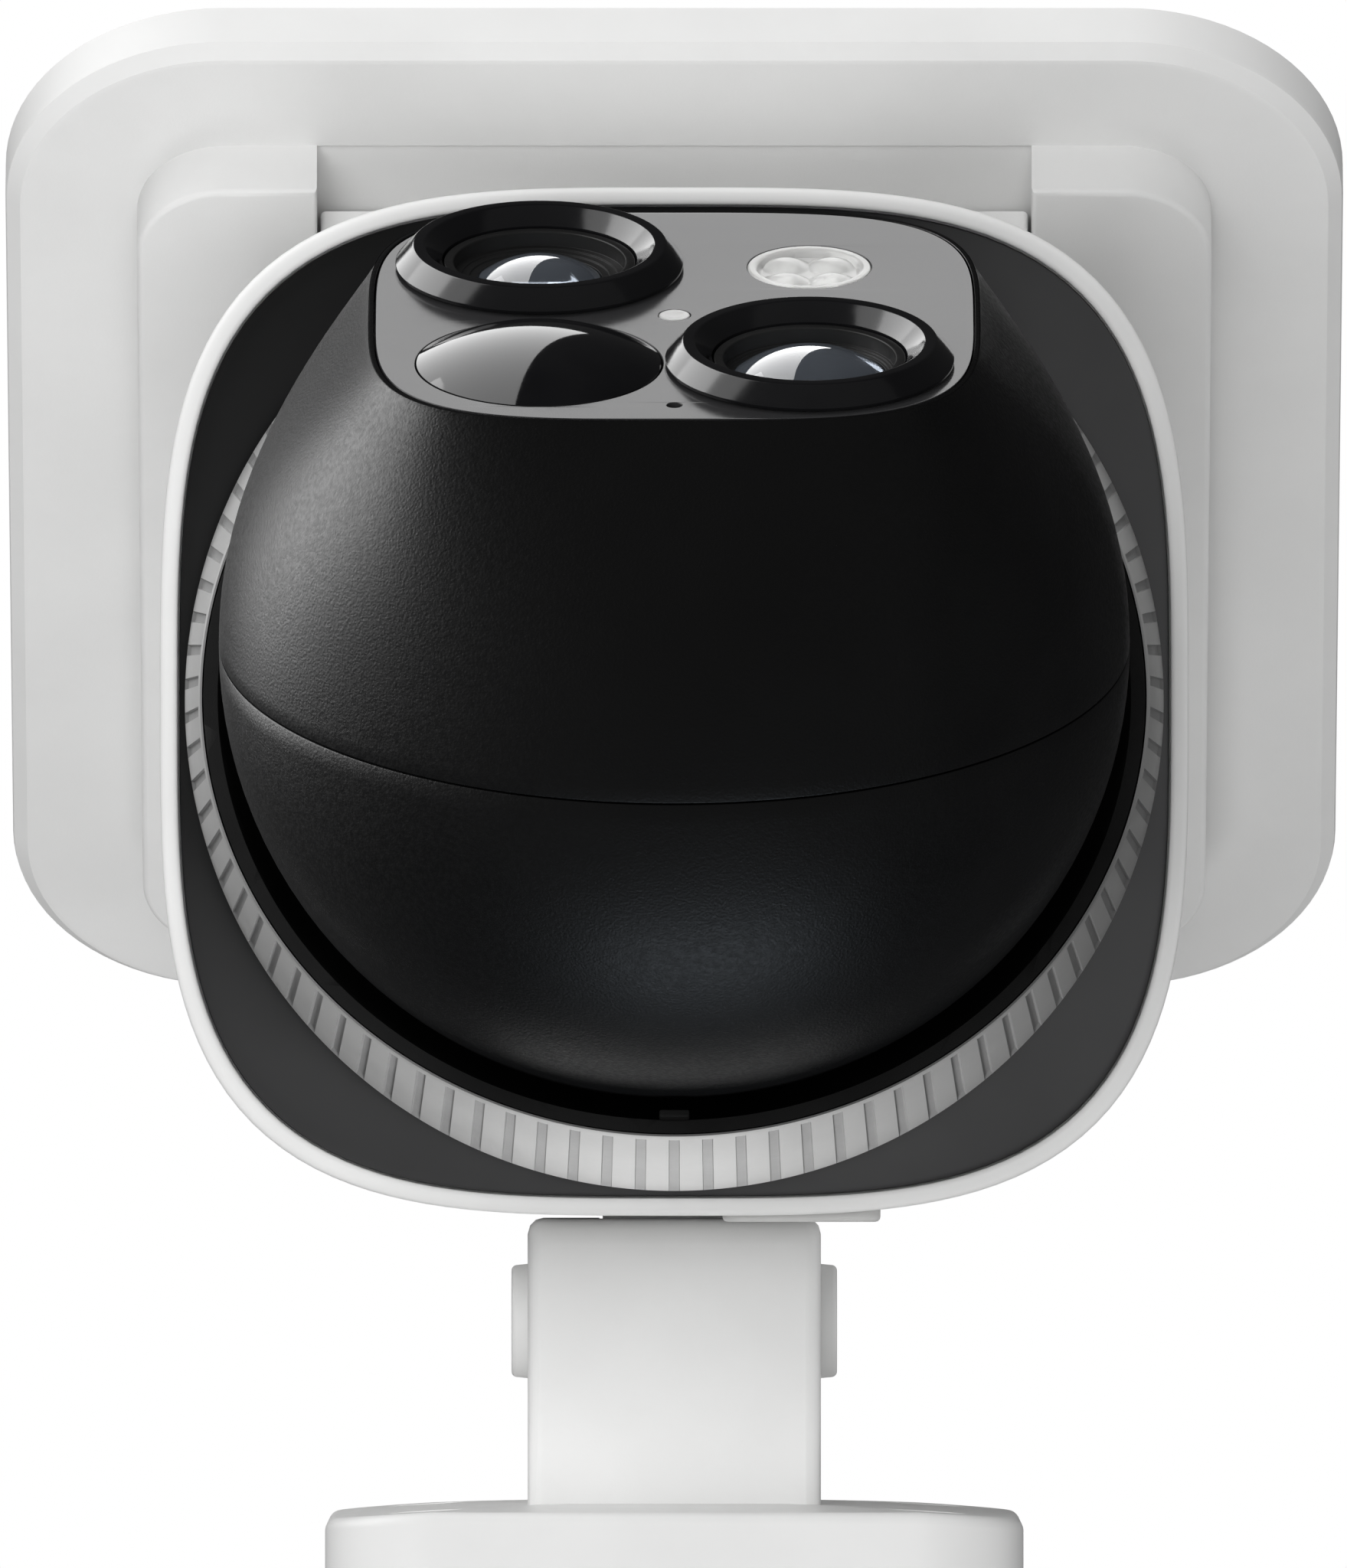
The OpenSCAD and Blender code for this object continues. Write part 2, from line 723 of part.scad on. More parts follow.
module lens_ring(at) {
    color("#0c0c0c") in_head() on_plate(at) rotate_extrude() polygon([
        [8.75, -3], [10.4, -3], [10.4, 0.2], [12.9, 0.2], [12.95, 0.5],
        [11.35, 2.25], [10.35, 2.25], [8.75, 0.75]
    ]);
}

module lens_barrel(at, glass_r) {
    color("#3a3a3a") in_head() on_plate(at) rotate_extrude() polygon([
        [glass_r - 1, -lens_depth], [8.6, -lens_depth], [8.6, 0.6], [7.7, 0.6],
        [7.7, -1.2], [glass_r + 0.1, -1.2], [glass_r + 0.1, -6], [glass_r - 1, -6]
    ]);
}

// Glass dome of radius r that rises by 0.35 r above a short cylinder.
module lens_glass(at, r) {
    rise = 0.35 * r;
    dome_r = (r * r + rise * rise) / (2 * rise);
    color("lightsteelblue") in_head() on_plate(at) translate([0, 0, -1.1]) intersection() {
        translate([0, 0, -4]) cylinder(r = r, h = 10);
        translate([0, 0, rise - dome_r]) sphere(r = dome_r);
        box(-20, 20, -20, 20, -3, 10);
    }
}

module wide_lens_ring() { lens_ring(wide_at); }
module tele_lens_ring() { lens_ring(tele_at); }
module wide_lens_barrel() { lens_barrel(wide_at, wide_glass_r); }
module tele_lens_barrel() { lens_barrel(tele_at, tele_glass_r); }
module wide_lens_glass() { lens_glass(wide_at, wide_glass_r); }
module tele_lens_glass() { lens_glass(tele_at, tele_glass_r); }

module at_board_screws() {
    for (q = [0 : 3]) rotate([0, 0, 90 * q]) translate([board_screw_at, 0, 0]) children();
}

module camera_board() {
    color("darkgreen") in_head() {
        difference() {
            box(-22, 22, -22, 22, board_at, board_at + board_t);
            at_board_screws() translate([0, 0, board_at - over]) cylinder(r = 1.25, h = board_t + 2 * over);
        }
        for (p = [wide_at, tele_at]) translate([p[0], p[1], board_at]) box(-3, 3, -3, 3, 0, board_t + 1.5);
    }
}

module pir_lens() {
    rise = 2.8;
    dome_r = (pir_r * pir_r + rise * rise) / (2 * rise);
    color("#101010") in_head() on_plate(pir_at) difference() {
        intersection() {
            translate([0, 0, -1.6]) cylinder(r = pir_r, h = 8);
            translate([0, 0, rise - dome_r]) sphere(r = dome_r, $fn = 128);
        }
        intersection() {
            translate([0, 0, -over - 1.6]) cylinder(r = pir_r - 1, h = 8);
            translate([0, 0, rise - dome_r]) sphere(r = dome_r - 0.9, $fn = 128);
        }
    }
}

module pir_sensor() {
    color("silver") in_head() on_plate(pir_at) {
        translate([0, 0, -8]) cylinder(r = 4.6, h = 4);
        translate([0, 0, -9.2]) cylinder(r = 6, h = 1.2);
    }
}

module spotlight_lens() {
    color("ghostwhite") in_head() on_plate(spot_at) translate([0, 0, -1.6]) cylinder(r = spot_r, h = 1.65);
}

module spotlight_board() {
    color("ivory") in_head() on_plate(spot_at) {
        translate([0, 0, -4.4]) cylinder(r = 6.5, h = 1);
        four(2.2, 2.2) translate([-1, -1, -3.4]) cube([2, 2, 0.8]);
    }
}

module light_sensor_window() {
    color("ghostwhite") in_head() on_plate([0, 0]) translate([0, 0, -1.6]) cylinder(r = 1.4, h = 1.65);
}

module microphone() {
    color("silver") in_head() on_plate([0, mic_v]) translate([0, 0, -3.2]) cylinder(r = 1.1, h = 1.5);
}

// ---------- solar panel ----------

module panel_frame() {
    color("white") in_panel() difference() {
        loft([
            at_height(round_square(panel_a - panel_bevel, panel_corner - panel_bevel), 0),
            at_height(round_square(panel_a, panel_corner), panel_bevel),
            at_height(round_square(panel_a, panel_corner), panel_t - 0.6),
            at_height(round_square(panel_a - 0.6, panel_corner - 0.6), panel_t)
        ]);
        round_prism(panel_a - 3, panel_corner - 3, 3.6, panel_t + over);
        box(-slot_w / 2, slot_w / 2, -block_a, slot_end, -over, slot_floor);
    }
}

module solar_cells() {
    color("midnightblue") in_panel() round_prism(panel_a - 4, panel_corner - 4, 3.6, 4);
}

module panel_glass() {
    color("#20304a") in_panel() round_prism(panel_a - 3.2, panel_corner - 3.2, 4, panel_t - 0.1);
}

module panel_back_block() {
    color("white") in_panel() difference() {
        loft([
            at_height(round_square(block_a - 0.5, 7.7), -block_t),
            at_height(round_square(block_a, 8.2), -block_t + 0.5),
            at_height(round_square(block_a + 0.4, 8.6), 0)
        ]);
        box(-slot_w / 2, slot_w / 2, -block_a - 2 * over, slot_end, -block_t - over, over);
        box(-45, 45, slot_end + 3, 45, -block_t + 1.8, over);
        translate([0, hinge_s, hinge_n]) along_x(-38, 38, hinge_r + fit);
    }
}

module charge_board() {
    color("darkgreen") in_panel() box(-20, 20, 0, 30, -block_t + 2.2, -block_t + 3.8);
}

module hinge_pin() {
    color("silver") in_panel() translate([0, hinge_s, hinge_n]) along_x(-37.5, 37.5, hinge_r);
}

// ---------- nodes ----------

wall_bracket();
pivot_pin();
pivot_cap_left();
pivot_cap_right();
body_shell();
top_cover();
face_plate();
face_seal();
arm_knuckle();
knuckle_screws();
pan_chassis();
pan_bush();
pan_motor();
battery_cells();
battery_tray();
main_board();
speaker();
usb_socket();
housing_screws();
panel_bracket();
bracket_screws();
port_flap();
sync_button();
button_switch();
pan_pinion();
pan_collar();
pan_bowl();
pan_gear();
pan_retainer();
tilt_yoke();
tilt_gear();
tilt_axle();
head_front_shell();
head_rear_shell();
head_frame();
head_screws();
tilt_motor();
lens_plate();
wide_lens_ring();
tele_lens_ring();
wide_lens_barrel();
tele_lens_barrel();
wide_lens_glass();
tele_lens_glass();
camera_board();
pir_lens();
pir_sensor();
spotlight_lens();
spotlight_board();
light_sensor_window();
microphone();
tilt_pinion();
panel_frame();
solar_cells();
panel_glass();
panel_back_block();
charge_board();
hinge_pin();
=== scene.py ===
"""Looks of the pan-and-tilt security camera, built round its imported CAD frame. Lengths are in millimetres
until a mesh is made, when MM turns them into metres."""

import json
import math

import bmesh
import bpy
from mathutils import Matrix, Vector


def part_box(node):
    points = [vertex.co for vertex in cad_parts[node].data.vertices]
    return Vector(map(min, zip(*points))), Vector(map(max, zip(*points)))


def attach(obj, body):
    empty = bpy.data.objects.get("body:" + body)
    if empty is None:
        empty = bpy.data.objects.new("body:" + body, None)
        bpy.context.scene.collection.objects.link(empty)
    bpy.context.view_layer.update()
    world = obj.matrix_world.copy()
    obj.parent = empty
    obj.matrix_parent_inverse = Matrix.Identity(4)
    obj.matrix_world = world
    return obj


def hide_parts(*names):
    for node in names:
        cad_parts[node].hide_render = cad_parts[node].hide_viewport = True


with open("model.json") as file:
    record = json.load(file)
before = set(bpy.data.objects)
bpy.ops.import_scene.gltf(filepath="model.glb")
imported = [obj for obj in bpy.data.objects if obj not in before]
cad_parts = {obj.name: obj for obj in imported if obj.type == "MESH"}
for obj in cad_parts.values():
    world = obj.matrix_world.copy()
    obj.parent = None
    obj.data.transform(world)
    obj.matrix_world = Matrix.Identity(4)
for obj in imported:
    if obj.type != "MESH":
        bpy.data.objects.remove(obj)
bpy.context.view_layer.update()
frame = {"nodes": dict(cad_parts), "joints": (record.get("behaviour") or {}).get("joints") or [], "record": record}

MM = 0.001
STEPS = 192  # points round a soft square or a circle

# ---------- places, from the frame ----------


def joint_place(name):
    """Where a joint's axis passes, in millimetres."""
    found = next(j for j in frame["joints"] if j["name"] == name)
    return Vector(found["pos_m"]) / MM


def node_box(node):
    """Lowest and highest corners of a CAD node in millimetres."""
    low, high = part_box(node)
    return low / MM, high / MM


PAN = joint_place("pan")
BALL = joint_place("tilt")
PIVOT = joint_place("arm_tilt")
HINGE = joint_place("panel_tilt")

shell_low, shell_high = node_box("body_shell")
plate_low, plate_high = node_box("face_plate")
panel_low, panel_high = node_box("panel_frame")

# Housing: a soft square of half width BODY_A
BODY_A = (shell_high.x - shell_low.x) / 2
BODY_POWER = 3.5
WALL = 2.2
INNER_A = BODY_A - WALL
RIM_Z = shell_low.z
SHELL_TOP = shell_high.z
TOP_Z = node_box("top_cover")[1].z
TOP_ROUND = TOP_Z - SHELL_TOP
FACE_A = (plate_high.x - plate_low.x) / 2
FACE_Z = plate_low.z
FACE_T = plate_high.z - plate_low.z
FACE_HOLE_R = 39

# Ball: its lenses look LENS_PITCH degrees down, and its lens plate lies PLATE_REACH from its middle
BALL_R = 40.9
LENS_PITCH = 20.7
PLATE_REACH = 31.4
FRONT_A = 27.5
FRONT_POWER = 3.73
SHELL_T = 2.2
SEAM = 0.05

# Turning cup: a collar from a round base up at the housing to a rim slanted by RIM_SLANT degrees
BASE_Z = node_box("pan_collar")[1].z
BASE_R = 44.2
RIM_SLANT = 22
RIM_R = 42.8
RIM_Y = -0.5
RIM_DROP = 17
CUP_MOUTH_R = 41.04
GROOVES = 90

# Middles of the openings, across and up the lens plate
WIDE_AT = (-12.1, 12.5)
TELE_AT = (12.1, -12.5)
SPOT_AT = (12.1, 12.5)
PIR_AT = (-12.1, -12.5)
MIC_AT = (0, -23.2)
WIDE_R = 5.5
TELE_R = 6.8

# Solar panel: its frame's underside is at height 0 and its raised back below that
PANEL_A = (panel_high.x - panel_low.x) / 2
PANEL_T = 6.2
PANEL_CORNER = 20
PANEL_SLOPE = 45
PANEL_Y = -95.2
BLOCK_A = 49.2
BLOCK_T = 6.1
SLOT_A = 32.7
SLOT_END = -22
HINGE_N = -3.1
HINGE_BORE = 1.55
CELLS_Z = 3.6


def turned(angle, axis="X"):
    """A turn by this many degrees."""
    return Matrix.Rotation(math.radians(angle), 4, axis)


def at(x, y, z):
    """A move in millimetres."""
    return Matrix.Translation(Vector((x, y, z)) * MM)


WORLD = Matrix.Identity(4)
AT_PAN = at(PAN.x, PAN.y, 0)
AT_HEAD = at(*BALL) @ turned(90 + LENS_PITCH)
AT_CUP = at(*BALL) @ turned(-RIM_SLANT)
AT_PIVOT = at(*PIVOT)
AT_HINGE = at(*HINGE)
slope = math.radians(PANEL_SLOPE)
HINGE_S = (HINGE.y - PANEL_Y + HINGE_N * math.sin(slope)) / math.cos(slope)
PANEL_Z = HINGE.z - HINGE_S * math.sin(slope) - HINGE_N * math.cos(slope)
AT_PANEL = at(0, PANEL_Y, PANEL_Z) @ turned(PANEL_SLOPE)


def on_plate(place):
    """The lens plate's face at this place across and up."""
    return AT_HEAD @ at(*place, PLATE_REACH)


# ---------- outlines ----------


def soft_square(a, power):
    """Superellipse of half width a, at even angles."""
    points = []
    for i in range(STEPS):
        t = i * 2 * math.pi / STEPS
        r = a / (abs(math.cos(t)) ** power + abs(math.sin(t)) ** power) ** (1 / power)
        points.append((r * math.cos(t), r * math.sin(t)))
    return points


def circle(r, steps=STEPS, middle=(0, 0)):
    """Circle of radius r, anticlockwise."""
    points = []
    for i in range(steps):
        t = i * 2 * math.pi / steps
        points.append((middle[0] + r * math.cos(t), middle[1] + r * math.sin(t)))
    return points


def round_rect(half_x, half_y, r, corner_steps=12):
    """Rectangle with round corners, anticlockwise."""
    points = []
    for q, (sx, sy) in enumerate([(1, 1), (-1, 1), (-1, -1), (1, -1)]):
        for i in range(corner_steps + 1):
            t = math.radians(q * 90 + i * 90 / corner_steps)
            points.append((sx * (half_x - r) + r * math.cos(t), sy * (half_y - r) + r * math.sin(t)))
    return points


def filleted(points, radii, closed=True, steps=5):
    """The outline with each corner rounded to its radius."""
    out = []
    count = len(points)
    for i, (point, r) in enumerate(zip(points, radii)):
        here = Vector(point)
        if r <= 0 or (not closed and i in (0, count - 1)):
            out.append(tuple(here))
            continue
        back = Vector(points[i - 1]) - here
        ahead = Vector(points[(i + 1) % count]) - here
        half = back.angle(ahead) / 2
        reach = min(r / math.tan(half), back.length * 0.49, ahead.length * 0.49)
        r_here = reach * math.tan(half)
        start = here + back.normalized() * reach
        end = here + ahead.normalized() * reach
        inward = (back.normalized() + ahead.normalized()).normalized()
        middle = here + inward * (r_here / math.sin(half))
        a, b = start - middle, end - middle
        turn = a.angle(b)
        for k in range(steps + 1):
            f = k / steps
            p = middle + (a * math.sin((1 - f) * turn) + b * math.sin(f * turn)) / math.sin(turn)
            out.append(tuple(p))
    return out


def lifted(points, z):
    """The flat outline at this height."""
    return [(x, y, z) for x, y in points]


# ---------- meshes ----------


def add_object(name, data):
    """A new object in the scene."""
    obj = bpy.data.objects.new(name, data)
    bpy.context.scene.collection.objects.link(obj)
    return obj


def finished_mesh(obj):
    """A mesh of the object as its curve or its modifiers make it."""
    evaluated = obj.evaluated_get(bpy.context.evaluated_depsgraph_get())
    return bpy.data.meshes.new_from_object(evaluated)


SHARP = 32  # degrees between faces from which an edge stays sharp
WELD = 2e-6  # metres within which points become one


def mesh_of(name, points, faces, place=WORLD, sharp=SHARP):
    """Mesh from points in millimetres, with doubles joined, normals outward and only sharp edges split."""
    mesh = bpy.data.meshes.new(name)
    bm = bmesh.new()
    made = [bm.verts.new(place @ (Vector(p) * MM)) for p in points]
    for face in faces:
        bm.faces.new([made[i] for i in face])
    bmesh.ops.remove_doubles(bm, verts=bm.verts, dist=WELD)
    bmesh.ops.dissolve_degenerate(bm, edges=bm.edges, dist=1e-7)
    bmesh.ops.recalc_face_normals(bm, faces=bm.faces)
    bm.to_mesh(mesh)
    bm.free()
    smooth(mesh, sharp)
    return mesh


def smooth(mesh, sharp=SHARP):
    """Smooth shading, apart from sharp edges."""
    mesh.polygons.foreach_set("use_smooth", [True] * len(mesh.polygons))
    mesh.set_sharp_from_angle(angle=math.radians(sharp))


def rings_mesh(name, rings, place=WORLD, loop=False, sharp=SHARP):
    """Surface through rings of as many points each, closed by a loop or by two end faces."""
    n = len(rings[0])
    points = [p for ring in rings for p in ring]
    faces = []
    bands = len(rings) if loop else len(rings) - 1
    for k in range(bands):
        a, b = k * n, (k + 1) % len(rings) * n
        faces += [(a + i, a + (i + 1) % n, b + (i + 1) % n, b + i) for i in range(n)]
    if not loop:
        faces.append(tuple(range(n))[::-1])
        faces.append(tuple(len(points) - n + i for i in range(n)))
    return mesh_of(name, points, faces, place, sharp)


def lathe(name, profile, place=WORLD, loop=True, steps=96):
    """Profile of (radius, height) turned about the local Z axis."""
    least_r = 1e-4
    rings = [lifted(circle(max(r, least_r), steps), z) for r, z in profile]
    return rings_mesh(name, rings, place, loop)


def cut_sheet(name, outline, holes, z0, z1, bevel, place=WORLD):
    """A plate from z0 to z1 with this outline and these holes, and rounded edges."""
    curve = bpy.data.curves.new(name, "CURVE")
    curve.dimensions = "2D"
    curve.fill_mode = "BOTH"
    curve.extrude = (z1 - z0) / 2 - bevel
    curve.bevel_depth = bevel
    curve.bevel_resolution = 2
    curve.offset = -bevel
    for ring in [outline] + [hole[::-1] for hole in holes]:
        spline = curve.splines.new("POLY")
        spline.points.add(len(ring) - 1)
        for point, (x, y) in zip(spline.points, ring):
            point.co = (x, y, 0, 1)
        spline.use_cyclic_u = True
    obj = add_object(name, curve)
    mesh = finished_mesh(obj)
    bpy.data.objects.remove(obj)
    bpy.data.curves.remove(curve)
    middle = Matrix.Translation((0, 0, (z0 + z1) / 2))
    mesh.transform(place @ Matrix.Scale(MM, 4) @ middle)
    bm = bmesh.new()
    bm.from_mesh(mesh)
    bmesh.ops.remove_doubles(bm, verts=bm.verts, dist=WELD)
    bmesh.ops.recalc_face_normals(bm, faces=bm.faces)
    bm.to_mesh(mesh)
    bm.free()
    smooth(mesh)
    return mesh


def box_mesh(low, high, place=WORLD):
    """Box between two corners."""
    x0, y0, z0 = low
    x1, y1, z1 = high
    rings = [[(x0, y0, z), (x1, y0, z), (x1, y1, z), (x0, y1, z)] for z in (z0, z1)]
    return rings_mesh("cutter", rings, place)


def rod_mesh(r, z0, z1, place=WORLD, r_end=None, steps=64):
    """Rod along the local Z axis, or a cone where its end has another radius."""
    rings = [lifted(circle(r, steps), z0), lifted(circle(r if r_end is None else r_end, steps), z1)]
    return rings_mesh("cutter", rings, place)


def combined(mesh, tools, operation="DIFFERENCE"):
    """The mesh after an exact boolean with each tool mesh."""
    target = add_object("target", mesh)
    helpers = [add_object("tool", tool) for tool in tools]
    for helper in helpers:
        step = target.modifiers.new("step", "BOOLEAN")
        step.operation = operation
        step.solver = "EXACT"
        step.object = helper
    result = finished_mesh(target)
    for obj in [target] + helpers:
        bpy.data.objects.remove(obj)
    smooth(result)
    return result


def joined(name, meshes):
    """One mesh of several that don't touch."""
    bm = bmesh.new()
    for mesh in meshes:
        bm.from_mesh(mesh)
    result = bpy.data.meshes.new(name)
    bm.to_mesh(result)
    bm.free()
    return result


def piece(name, mesh, body, slot, replaces=(), material=None, flat_sided=False):
    """A finished piece, with the body it rides on, its record slot and the CAD nodes it stands for.

    It gets its slot's finish unless another is given. A flat-sided piece is shaded flat up to its edges."""
    mesh.name = name
    obj = add_object(name, mesh)
    mesh.materials.clear()
    mesh.materials.append(material or FINISHES[slot])
    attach(obj, body)
    if replaces:
        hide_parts(*replaces)
    if flat_sided:
        weighted = obj.modifiers.new("weighted", "WEIGHTED_NORMAL")
        weighted.keep_sharp = True
    return obj


# ---------- material nodes ----------


class Finish:
    """A material being built: short calls add its nodes."""

    def __init__(self, name):
        self.material = bpy.data.materials.new(name)
        self.material.use_nodes = True
        self.nodes = self.material.node_tree.nodes
        self.links = self.material.node_tree.links
        self.shader = self.nodes["Principled BSDF"]
        self.place = self.nodes.new("ShaderNodeTexCoord").outputs["Object"]

    def set(self, **values):
        """Sets the shader's own sockets, named with _ for a space."""
        for name, value in values.items():
            self.shader.inputs[name.replace("_", " ")].default_value = value

    def noise(self, size, detail=2.0, roughness=0.5, stretch=(1, 1, 1)):
        """Noise whose features are about size millimetres."""
        scaled = self.nodes.new("ShaderNodeMapping")
        scaled.inputs["Scale"].default_value = stretch
        self.links.new(self.place, scaled.inputs["Vector"])
        node = self.nodes.new("ShaderNodeTexNoise")
        node.inputs["Scale"].default_value = 1 / (size * MM)
        node.inputs["Detail"].default_value = detail
        node.inputs["Roughness"].default_value = roughness
        self.links.new(scaled.outputs["Vector"], node.inputs["Vector"])
        return node.outputs["Fac"]

    def cells(self, size, feature):
        """Voronoi cells about size millimetres across."""
        node = self.nodes.new("ShaderNodeTexVoronoi")
        node.feature = feature
        node.inputs["Scale"].default_value = 1 / (size * MM)
        self.links.new(self.place, node.inputs["Vector"])
        return node.outputs["Distance"]

    def roughness(self, value, low, high, low_at=0.0, high_at=1.0):
        """Maps value from low_at..high_at to roughnesses low..high."""
        node = self.nodes.new("ShaderNodeMapRange")
        node.inputs["From Min"].default_value = low_at
        node.inputs["From Max"].default_value = high_at
        node.inputs["To Min"].default_value = low
        node.inputs["To Max"].default_value = high
        self.links.new(value, node.inputs["Value"])
        self.links.new(node.outputs["Result"], self.shader.inputs["Roughness"])

    def colour(self, value, low, high, low_at=0.0, high_at=1.0):
        """Maps value from low_at..high_at to colours low..high."""
        node = self.nodes.new("ShaderNodeValToRGB")
        node.color_ramp.elements[0].position = low_at
        node.color_ramp.elements[0].color = (*low, 1)
        node.color_ramp.elements[1].position = high_at
        node.color_ramp.elements[1].color = (*high, 1)
        self.links.new(value, node.inputs["Fac"])
        self.links.new(node.outputs["Color"], self.shader.inputs["Base Color"])

    def mix_values(self, a, b, kind):
        """Adds or multiplies two values."""
        node = self.nodes.new("ShaderNodeMath")
        node.operation = kind
        self.links.new(a, node.inputs[0])
        self.links.new(b, node.inputs[1])
        return node.outputs[0]

    def bump(self, height, depth):
        """Bump whose full height is depth millimetres."""
        node = self.nodes.new("ShaderNodeBump")
        node.inputs["Distance"].default_value = depth * MM
        self.links.new(height, node.inputs["Height"])
        self.links.new(node.outputs["Normal"], self.shader.inputs["Normal"])


def moulded_plastic(name, low, high, rough, grain_size, grain_depth, rough_spread=0.06):
    """Fine-textured moulded plastic with slight colour variation and faint handling marks."""
    finish = Finish(name)
    finish.colour(finish.noise(14, 4), low, high, 0.35, 0.65)
    marks = finish.mix_values(finish.noise(5, 5, 0.6), finish.noise(0.8, 2), "MULTIPLY")
    finish.roughness(marks, rough - rough_spread, rough + rough_spread, 0.12, 0.42)
    finish.bump(finish.noise(grain_size, 2, 0.6), grain_depth)
    return finish.material


def black_grain():
    """The ball's leather-like moulded grain."""
    finish = Finish("black_grain_plastic")
    low, high = (0.0045, 0.0045, 0.0048), (0.0065, 0.0065, 0.0068)
    finish.colour(finish.noise(9, 3), low, high, 0.3, 0.7)
    grain = finish.mix_values(finish.noise(0.2, 2, 0.55), finish.cells(0.26, "SMOOTH_F1"), "ADD")
    finish.roughness(finish.noise(0.5, 2), 0.37, 0.47, 0.35, 0.65)
    finish.bump(grain, 0.022)
    return finish.material


def tinted_glass():
    """Lens glass with a faint blue-grey tint."""
    finish = Finish("lens_glass")
    finish.set(Transmission_Weight=0.85, IOR=1.5)
    finish.colour(finish.noise(6, 2), (0.16, 0.18, 0.21), (0.20, 0.22, 0.25))
    finish.roughness(finish.noise(3, 3), 0.012, 0.03)
    finish.bump(finish.noise(2.5, 1), 0.0003)
    return finish.material


def clear_cover():
    """Frosted clear plastic over the spotlight and the light sensor."""
    finish = Finish("light_lens_clear")
    finish.set(Transmission_Weight=0.6, IOR=1.49)
    finish.colour(finish.noise(3, 2), (0.90, 0.90, 0.89), (0.94, 0.94, 0.93))
    finish.roughness(finish.noise(1.5, 3), 0.14, 0.22)
    finish.bump(finish.noise(1.2, 1), 0.001)
    return finish.material


def metal(name, low, high, rough):
    """Turned or stamped metal with fine machining marks."""
    size = 0.8
    finish = Finish(name)
    finish.set(Metallic=1.0)
    finish.colour(finish.noise(size, 4), low, high, 0.3, 0.7)
    marks = finish.noise(size / 2, 4, 0.6)
    finish.roughness(marks, rough - 0.08, rough + 0.1, 0.3, 0.7)
    finish.bump(finish.noise(0.12, 2, 0.5, (1, 6, 1)), 0.003)
    return finish.material


def rubber(name, low, high, rough=0.7):
    """Matt rubber."""
    finish = Finish(name)
    finish.set(Specular_IOR_Level=0.3)
    finish.colour(finish.noise(4, 4), low, high, 0.3, 0.7)
    finish.roughness(finish.noise(1.2, 3), rough - 0.06, rough + 0.06)
    finish.bump(finish.noise(0.16, 2), 0.008)
    return finish.material


def circuit():
    """Solder mask over copper tracks."""
    finish = Finish("circuit_board")
    tracks = finish.cells(1.6, "DISTANCE_TO_EDGE")
    finish.colour(tracks, (0.01, 0.09, 0.03), (0.008, 0.045, 0.018), 0.05, 0.12)
    finish.roughness(finish.noise(2, 3), 0.25, 0.4)
    finish.bump(tracks, 0.03)
    return finish.material


def battery_wrap():
    """Shrink wrap with slight creases."""
    finish = Finish("battery_wrap")
    low, high = (0.02, 0.08, 0.22), (0.03, 0.11, 0.28)
    finish.colour(finish.noise(8, 5, 0.6), low, high, 0.3, 0.7)
    finish.roughness(finish.noise(1.2, 4), 0.22, 0.38)
    finish.bump(finish.noise(3, 4), 0.02)
    return finish.material


def silicon():
    """Dark blue solar cells with fine crystal and finger lines."""
    finish = Finish("solar_cell")
    finish.set(Specular_IOR_Level=0.6)
    base = finish.mix_values(finish.noise(0.9, 3), finish.noise(22, 2), "MULTIPLY")
    finish.colour(base, (0.006, 0.012, 0.045), (0.012, 0.024, 0.085), 0.1, 0.45)
    finish.roughness(finish.noise(0.6, 3), 0.28, 0.42)
    finish.bump(finish.noise(0.2, 2, 0.5, (1, 12, 12)), 0.004)
    return finish.material


def cover_glass():
    """Clear glass over the solar cells."""
    finish = Finish("panel_glass")
    finish.set(Transmission_Weight=1.0, IOR=1.5)
    finish.colour(finish.noise(20, 2), (0.95, 0.97, 0.98), (0.98, 0.99, 1.0))
    finish.roughness(finish.noise(6, 4), 0.02, 0.07, 0.3, 0.7)
    finish.bump(finish.noise(9, 2), 0.002)
    return finish.material


def element_coating(name, low, high):
    """Dark coating of an inner lens element."""
    finish = Finish(name)
    finish.set(Coat_Weight=1.0, Coat_Roughness=0.02)
    finish.colour(finish.noise(2, 2), low, high)
    finish.roughness(finish.noise(1, 2), 0.04, 0.1)
    return finish.material


